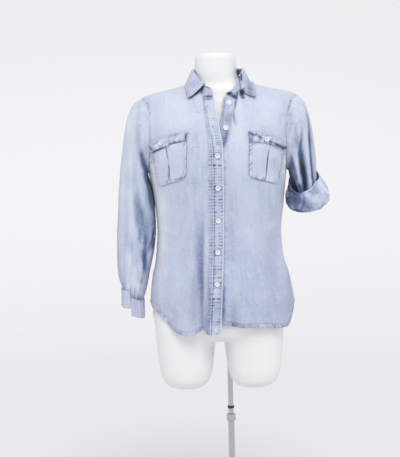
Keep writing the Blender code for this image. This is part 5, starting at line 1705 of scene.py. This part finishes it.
def build_collar_stand():
    share, up = grid(199, 15)
    cloth = Cloth(stand_surface(share, up), -1)
    # the stand is a little darker all over; where the collar's leaf covers it, and on its inner side, it
    # is darkened as painted shade
    collar_shadow = smoothstep((share - 0.055) / 0.02) * smoothstep((0.895 - share) / 0.02)
    cloth.wear_and_shade, cloth.inside_wear_and_shade = -0.4 - 1.2 * collar_shadow, -1.2
    cloth.streak(FRONT_PAINTED_SHADE)
    cloth.press(puckers("stand", cloth.distance(0), cloth.distance(1), 71), 900)
    rows = [cloth.row(1, 0.0018, False, 0.01, 0.99)]
    add_cloth("collar_stand", cloth, (share * 0.42, up * 0.03 + 1.1), rows, 0.0015)


def build_collar():
    down = np.concatenate([np.linspace(0, TURN_SHARE, 13)[:-1], np.linspace(TURN_SHARE, 1, 34)])
    share, down = np.meshgrid(np.linspace(0, 1, 230), down, indexing="ij")
    fall = np.clip((down - TURN_SHARE) / (1 - TURN_SHARE), 0, 1)
    first, last = COLLAR_POINTS
    cut_back = first * np.clip(1 - share / 0.10, 0, 1) - last * np.clip((share - 0.9) / 0.1, 0, 1)
    share = share + np.sin(np.pi * fall) * cut_back
    cloth = Cloth(collar_surface(share, down), 1)
    along, off = cloth.distance(0), cloth.nearest(*SIDES, LAST_END)
    leaf = smoothstep((down - 0.4) / 0.2)
    # painted shade on the collar's underside, which faces the stand
    cloth.inside_wear_and_shade = -1.5
    front = np.clip(np.abs(share - 0.5) / 0.5, 0, 1) ** 4
    cloth.press(COLLAR_LIFT * front * fall**2)
    cloth.wear_and_shade = -0.12 - 0.8 * near(off, 0.0, 0.0016)
    cloth.streak(COLLAR_PAINTED_SHADE)
    cloth.press(ridge(off, 0.0055, 0.0010, -0.0003) * leaf, 1400)
    cloth.press(puckers("collar", along + cloth.distance(1), off, 72) * leaf, 500)
    cloth.press(crumple(along, down * 0.06, 0.014, 0.0004, 73) * leaf, 200)
    rows = [cloth.row(1, 0.0055, True, 0.025, 0.975)]
    rows += [cloth.row(0, 0.0055, last, 0.40, 0.90) for last in (False, True)]
    add_cloth("collar", cloth, (share * 0.42, down * 0.07 + 1.2), rows, 0.0015, "denim_band")


# ---- buttons, form and stand ----
BUTTON_PROFILE = table(
    "radius height",
    (0, 0.45),
    (0.45, 0.45),
    (0.62, 0.55),
    (0.74, 0.9),
    (0.84, 1),
    (0.94, 0.9),
    (1, 0.6),
    (0.97, 0.25),
    (0.9, 0.05),
    (0, 0.05),
)


def lathe(at, facing, profile, turns):
    """Points and quads of a small turned piece."""
    side = unit(np.cross(facing, (0.0, 0.0, 1.0)))
    up = np.cross(side, facing)
    turn = np.arange(turns) * 2 * np.pi / turns
    circle = np.cos(turn)[:, None] * side + np.sin(turn)[:, None] * up
    points = np.concatenate([at + circle * radius + facing * height for radius, height in profile])
    rings = np.arange(len(profile) - 1)
    k, i = (index.ravel() for index in np.meshgrid(rings, np.arange(turns), indexing="ij"))
    j = (i + 1) % turns
    return points, np.stack([k * turns + i, (k + 1) * turns + i, (k + 1) * turns + j, k * turns + j], 1)


HOLE_PROFILE = ((0.00001, 0.00006), (0.00075, 0.00006), (0.00075, -0.0002))   # radius, height
HOLE_OFFSET = 0.0014     # how far each hole lies from the button's two middle lines


def add_button(name, at, facing):
    """A four-hole button, its holes dark discs: painted shade in place of open holes."""
    profile = [(r * BUTTON_RADIUS, h * BUTTON_THICK) for r, h in zip(*BUTTON_PROFILE.values())]
    profile[0] = (0.00002, profile[0][1])
    profile[-1] = (0.00002, profile[-1][1])
    points, faces = lathe(at, facing, profile, 36)
    button = new_mesh(name + "_pearl", points, faces, MATERIALS["pearl_button"])
    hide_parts(name)
    side = unit(np.cross(facing, (0.0, 0.0, 1.0)))
    up = np.cross(side, facing)
    dish = at + facing * BUTTON_THICK * BUTTON_PROFILE["height"][0]
    signs = ((1, 1), (-1, 1), (-1, -1), (1, -1))
    holes = [lathe(dish + HOLE_OFFSET * (a * side + b * up), facing, HOLE_PROFILE, 12) for a, b in signs]
    points = np.concatenate([hole[0] for hole in holes])
    faces = np.concatenate([hole[1] + len(hole[0]) * k for k, hole in enumerate(holes)])
    new_mesh(name + "_holes", points, faces, MATERIALS["button_hole_shade"])


def build_buttons():
    for i, (x, z) in enumerate(LEFT_BAND_BUTTONS + RIGHT_BAND_BUTTONS):
        level = np.array(z)
        theta = theta_at(x, level)
        lift = CLOTH + 3 * SEAM_GAP
        if i < len(LEFT_BAND_BUTTONS):
            lift = lift - front_sink(1, theta, level)
        facing = normals(body, theta, level)
        add_button(f"button_{i + 1}", body(theta, level) + facing * lift, facing)
    for side, shapes in POCKETS.items():
        theta, level, out = flap_surface(shapes, *map(np.array, shapes["button"]))
        facing = normals(body, theta, level)
        add_button(f"pocket_button_{side}", body(theta, level) + facing * (out + 0.0004), facing)


FORM_VOXEL = 0.0056      # the cell size of the form's one skin
FORM_SMOOTHING = 8       # how often that skin is evened out


def form_lofts(turn):
    """The torso, its two stubs and the pole's socket, each as rings of points."""
    levels = np.linspace(FORM["level"][0], FORM["level"][-1], 260)
    level, angle = np.meshgrid(levels, turn, indexing="ij")
    facing = np.cos(angle)
    depth = np.where(facing > 0, column(FORM, "front", level), column(FORM, "back", level))
    under_shirt = smoothstep((level - 1.20) / 0.06) * smoothstep((1.452 - level) / 0.012)
    shrink = FORM_CLEARANCE * under_shirt
    wide = column(FORM, "half_width", level) - shrink
    x = column(FORM, "centre_x", level) + wide * signed_power(np.sin(angle), ROUNDNESS)
    y = -(depth - shrink) * signed_power(facing, ROUNDNESS)
    lofts = [vectors(x, y, column(FORM, "z", level) - shrink * (level > 1.28))]
    for centre in STUB_CENTRES_X:
        z, angle = np.meshgrid(np.linspace(STUB["z"][0], STUB["z"][-1], 70), turn, indexing="ij")
        x = centre + column(STUB, "radius_x", z) * signed_power(np.sin(angle), ROUNDNESS)
        y = 0.003 - column(STUB, "radius_y", z) * signed_power(np.cos(angle), ROUNDNESS)
        lofts.append(vectors(x, y, z))
    z, angle = np.meshgrid(np.linspace(SOCKET_LOW_Z, SOCKET_HIGH_Z, 30), turn, indexing="ij")
    out = SOCKET_RADIUS * vectors(np.sin(angle), -np.cos(angle), 0.0)
    lofts.append(out + vectors(POLE_X, POLE_Y, z))
    return lofts


def build_form():
    """The display form in one smooth skin, clear of the shirt."""
    turn = np.arange(144) * 2 * np.pi / 144
    shape = bmesh.new()
    for loft in form_lofts(turn):
        rows = [[shape.verts.new(point) for point in line] for line in loft]
        for low, high in zip(rows[:-1], rows[1:]):
            for k in range(len(turn)):
                shape.faces.new((low[k], low[k - 1], high[k - 1], high[k]))
        shape.faces.new(rows[0])
        shape.faces.new(rows[-1][::-1])
    bmesh.ops.recalc_face_normals(shape, faces=shape.faces)
    mesh = bpy.data.meshes.new("display_form_shell")
    shape.to_mesh(mesh)
    shape.free()
    form = bpy.data.objects.new("display_form_shell", mesh)
    bpy.context.scene.collection.objects.link(form)
    skin = form.modifiers.new("one_skin", "REMESH")
    skin.mode, skin.voxel_size = "VOXEL", FORM_VOXEL
    even = form.modifiers.new("even", "SMOOTH")
    even.factor, even.iterations = 0.5, FORM_SMOOTHING
    settled = form.evaluated_get(bpy.context.evaluated_depsgraph_get())
    whole = bpy.data.meshes.new_from_object(settled)
    form.modifiers.clear()
    form.data = whole
    whole.shade_smooth()
    whole.materials.clear()
    whole.materials.append(MATERIALS["form_shell"])
    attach(form, "root")
    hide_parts("display_form")


def finish_stand():
    for name, slot in STAND_SLOTS.items():
        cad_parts[name].data.materials.clear()
        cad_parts[name].data.materials.append(MATERIALS[slot])


# ---- materials ----
def new_material(name):
    made = bpy.data.materials.new(name)
    made.use_nodes = True
    return made, made.node_tree, made.node_tree.nodes["Principled BSDF"]


def node(tree, kind, **settings):
    """A new node; a setting is an input, or else a property of the node."""
    made = tree.nodes.new("ShaderNode" + kind)
    for name, value in settings.items():
        if name in made.inputs:
            made.inputs[name].default_value = value
        else:
            setattr(made, name, value)
    return made


def combine(tree, operation, first, second):
    """A Math node fed by sockets or plain numbers."""
    made = tree.nodes.new("ShaderNodeMath")
    made.operation = operation
    for socket, value in zip(made.inputs, (first, second)):
        if isinstance(value, (int, float)):
            socket.default_value = value
        else:
            tree.links.new(value, socket)
    return made.outputs[0]


def noise_of(tree, place, scale, stretch, detail=2.0):
    """Noise over a place stretched by (x, y, z), from about -1 to 1."""
    stretched = node(tree, "Mapping")
    stretched.inputs["Scale"].default_value = stretch
    tree.links.new(place, stretched.inputs["Vector"])
    waves = node(tree, "TexNoise", Scale=scale, Detail=detail, Roughness=0.6)
    tree.links.new(stretched.outputs[0], waves.inputs["Vector"])
    return scaled(tree, combine(tree, "SUBTRACT", waves.outputs[0], 0.5), 4.0)


def ramp(tree, value, stops):
    """A colour that changes along a value."""
    made = node(tree, "ValToRGB")
    made.color_ramp.interpolation = "B_SPLINE"
    first, *others = stops
    made.color_ramp.elements.remove(made.color_ramp.elements[1])
    made.color_ramp.elements[0].position, made.color_ramp.elements[0].color = first[0], (*first[1], 1)
    for position, colour in others:
        made.color_ramp.elements.new(position).color = (*colour, 1)
    tree.links.new(value, made.inputs[0])
    return made.outputs[0]


def mixed(tree, share, first, second):
    """A colour taken from first to second by a share, which is held between 0 and 0.9."""
    made = node(tree, "Mix", data_type="RGBA")
    held = combine(tree, "MAXIMUM", combine(tree, "MINIMUM", share, 0.9), 0.0)
    tree.links.new(held, made.inputs[0])
    tree.links.new(first, made.inputs[6])
    made.inputs[7].default_value = (*second, 1.0)
    return made.outputs[2]


DEEP_SHADE_BLUE = (0.018, 0.024, 0.050)       # painted shade: near-black of the deepest fold hollows and of the gaps under the collar
BLUER, REDDER = (0.400, 0.620, 0.860), (0.660, 0.560, 0.720)
RAMP_LOW_Z, RAMP_SHARE = 0.66, 1.4      # the colour ramp runs paler upwards from this height, over 1 / 1.4 metres
SLUBS = (900.0, 45.0, 1.0)              # noise on the bolt: bumps to a metre across and along it
FINE = (1500.0, 1100.0, 1.0)
GRAINS = (                              # the same for coarser grains, and how strong each is
    ((260.0, 16.0, 1.0), 0.26),
    ((60.0, 320.0, 1.0), 0.22),
    ((130.0, 90.0, 1.0), 0.18),
)


def scaled(tree, value, share):
    return combine(tree, "MULTIPLY", value, share)


def denim(name, stops, dark, pale):
    """Washed denim: paler higher up, bluer and redder in patches, with slubs, blotches and a twill. Its
    wear-and-shade value, painted light and shade included, takes it towards pale, dark and a deep shade
    blue.
    """
    made, tree, shader = new_material(name)
    place = node(tree, "Attribute", attribute_name="bolt").outputs["Vector"]
    # real wear together with painted light and painted shade, from the pieces and their tables
    wear_and_shade_level = node(tree, "Attribute", attribute_name="wear_and_shade").outputs["Fac"]
    where = node(tree, "NewGeometry").outputs["Position"]
    height = node(tree, "SeparateXYZ")
    tree.links.new(where, height.inputs[0])
    above = combine(tree, "SUBTRACT", height.outputs["Z"], RAMP_LOW_Z)
    base = ramp(tree, scaled(tree, above, RAMP_SHARE), stops)
    hue = scaled(tree, noise_of(tree, where, 11.0, (1.5, 1.0, 0.6), 3.0), 0.15)
    base = mixed(tree, hue, base, BLUER)
    base = mixed(tree, scaled(tree, hue, -1.0), base, REDDER)
    slubs = noise_of(tree, place, 1.0, SLUBS)
    fine = noise_of(tree, place, 1.0, FINE)
    waves = [(slubs, 0.16), (fine, 0.10)]
    waves += [(noise_of(tree, place, 1.0, stretch, 3.0), strength) for stretch, strength in GRAINS]
    waves.append((noise_of(tree, where, 22.0, (1.0, 1.0, 0.7), 3.0), 0.20))
    for wave, strength in waves:
        wear_and_shade_level = combine(tree, "ADD", wear_and_shade_level, scaled(tree, wave, strength))
    darker = mixed(tree, scaled(tree, wear_and_shade_level, -0.55), base, dark)
    # values below -1.8 run on into painted deep shade
    deepest = scaled(tree, combine(tree, "ADD", wear_and_shade_level, 1.8), -0.5)
    darker = mixed(tree, deepest, darker, DEEP_SHADE_BLUE)
    tree.links.new(mixed(tree, scaled(tree, wear_and_shade_level, 0.45), darker, pale), shader.inputs["Base Color"])
    shader.inputs["Roughness"].default_value = 0.90
    shader.inputs["Specular IOR Level"].default_value = 0.20
    shader.inputs["Sheen Weight"].default_value = 0.10
    shader.inputs["Sheen Roughness"].default_value = 0.60
    twill = node(tree, "Bump", Strength=0.35, Distance=0.0004)
    tree.links.new(combine(tree, "ADD", fine, slubs), twill.inputs["Height"])
    tree.links.new(twill.outputs[0], shader.inputs["Normal"])
    return made


def plain(name, colour, roughness, metallic=0.0, coat=0.0, mottle=0.0):
    """A plain finish with a slight unevenness."""
    made, tree, shader = new_material(name)
    where = node(tree, "NewGeometry").outputs["Position"]
    waves = noise_of(tree, where, 60.0, (1.0, 1.0, 1.0))
    tint = node(tree, "RGB")
    tint.outputs[0].default_value = (*colour, 1.0)
    bright = node(tree, "VectorMath", operation="SCALE")
    tree.links.new(tint.outputs[0], bright.inputs[0])
    share = combine(tree, "ADD", scaled(tree, waves, mottle), 1.0)
    tree.links.new(share, bright.inputs["Scale"])
    tree.links.new(bright.outputs[0], shader.inputs["Base Color"])
    shader.inputs["Roughness"].default_value = roughness
    shader.inputs["Metallic"].default_value = metallic
    shader.inputs["Coat Weight"].default_value = coat
    return made


DENIM_STOPS = (          # the colour at shares of the way up
    (0.0, (0.442, 0.478, 0.637)),
    (0.30, (0.502, 0.543, 0.698)),
    (0.62, (0.560, 0.602, 0.746)),
    (0.95, (0.634, 0.676, 0.788)),
)
SEWN_STOPS = (
    (0.0, (0.440, 0.475, 0.634)),
    (0.50, (0.504, 0.540, 0.698)),
    (0.95, (0.580, 0.616, 0.752)),
)


def make_materials():
    return {
        "denim": denim("denim_cloth", DENIM_STOPS, (0.085, 0.128, 0.270), (0.84, 0.87, 0.93)),
        "denim_band": denim("denim_sewn", SEWN_STOPS, (0.075, 0.110, 0.240), (0.80, 0.82, 0.89)),
        "thread": plain("thread", (0.66, 0.68, 0.76), 0.8, mottle=0.05),
        "pearl_button": plain("pearl", (0.82, 0.82, 0.84), 0.25, coat=0.3, mottle=0.03),
        # painted shade: near-black discs for the insides of the buttons' holes
        "button_hole_shade": plain("button_hole_shade", (0.20, 0.20, 0.22), 0.8),
        "form_shell": plain("form_shell", (0.87, 0.87, 0.87), 0.45, mottle=0.006),
        "stand_metal": plain("stand_metal", (0.56, 0.53, 0.545), 0.32, metallic=1.0, mottle=0.02),
        "stand_rubber": plain("stand_rubber", (0.03, 0.03, 0.03), 0.6, mottle=0.05),
    }


# ---- floor, light and camera ----
def build_stage():
    """A pale floor that curves up into a far wall. The wall is only for the camera to see."""
    turns = 96
    turn = np.arange(turns) * 2 * np.pi / turns
    rise = np.linspace(0, np.pi / 2, 24)
    profile = [(0.01, 0.0), (1.0, 0.0), (2.0, 0.0)]
    profile += [(3.0 + 3.0 * np.sin(a), 3.0 - 3.0 * np.cos(a)) for a in rise] + [(6.0, 7.0)]
    points = np.array([(r * np.cos(t), r * np.sin(t), z) for r, z in profile for t in turn])
    pale, _, shader = new_material("pale_paper")
    shader.inputs["Base Color"].default_value = (0.775, 0.768, 0.775, 1.0)
    shader.inputs["Roughness"].default_value = 1.0
    shader.inputs["Specular IOR Level"].default_value = 0.0
    for name, first, last in (("floor", 0, 3), ("backdrop", 3, len(profile) - 1)):
        faces = [
            (k * turns + i, k * turns + j, (k + 1) * turns + j, (k + 1) * turns + i)
            for k in range(first, last) for i, j in zip(range(turns), (*range(1, turns), 0))
        ]
        mesh = bpy.data.meshes.new(name)
        mesh.from_pydata([tuple(p) for p in points], [], faces)
        mesh.shade_smooth()
        mesh.materials.append(pale)
        obj = bpy.data.objects.new(name, mesh)
        bpy.context.scene.collection.objects.link(obj)
        if name == "backdrop":
            obj.visible_diffuse = obj.visible_glossy = obj.visible_shadow = False
            obj.visible_transmission = False


def build_light():
    bpy.context.scene.view_settings.view_transform = "Standard"
    world = bpy.data.worlds.new("soft_room")
    bpy.context.scene.world = world
    world.use_nodes = True
    background = world.node_tree.nodes["Background"]
    background.inputs["Color"].default_value = (0.98, 0.985, 1.0, 1.0)
    background.inputs["Strength"].default_value = 0.78
    lamp = bpy.data.lights.new("window", "SUN")
    lamp.energy = 1.25
    lamp.angle = np.radians(25)
    key = bpy.data.objects.new("window", lamp)
    bpy.context.scene.collection.objects.link(key)
    key.rotation_euler = Vector((0.10, -0.80, 0.90)).to_track_quat("Z", "Y").to_euler()


FOCAL_PIXELS = 1077      # the lens's focal length in pixels of the photo, which is 457 high
PHOTO_HEIGHT = 457
CAMERA_AT = (-0.0473, -2.8, 1.20)
CAMERA_DOWN, CAMERA_ROLL = 5.1, -1.5    # degrees that it looks down and is turned by


def build_camera():
    lens = bpy.data.cameras.new("camera")
    lens.sensor_width = 36.0
    lens.lens = FOCAL_PIXELS / PHOTO_HEIGHT * lens.sensor_width
    camera = bpy.data.objects.new("camera", lens)
    bpy.context.scene.collection.objects.link(camera)
    camera.location = CAMERA_AT
    tilt = Matrix.Rotation(np.radians(90 - CAMERA_DOWN), 4, "X")
    roll = Matrix.Rotation(np.radians(CAMERA_ROLL), 4, "Z")
    camera.rotation_euler = (tilt @ roll).to_euler()
    bpy.context.scene.camera = camera


# ---- the whole ----
MATERIALS.update(make_materials())
for front in FRONTS:
    build_front(*front)
    build_band(*front)
build_back()
for (side_name, side_shapes), first_seed in zip(POCKETS.items(), (31, 35)):
    build_pocket(side_name, side_shapes, first_seed)
    build_flap(side_name, side_shapes, first_seed)
build_sleeves()
build_turn_up()
build_cuff()
build_collar_stand()
build_collar()
build_buttons()
build_form()
finish_stand()
build_stage()
build_light()
build_camera()
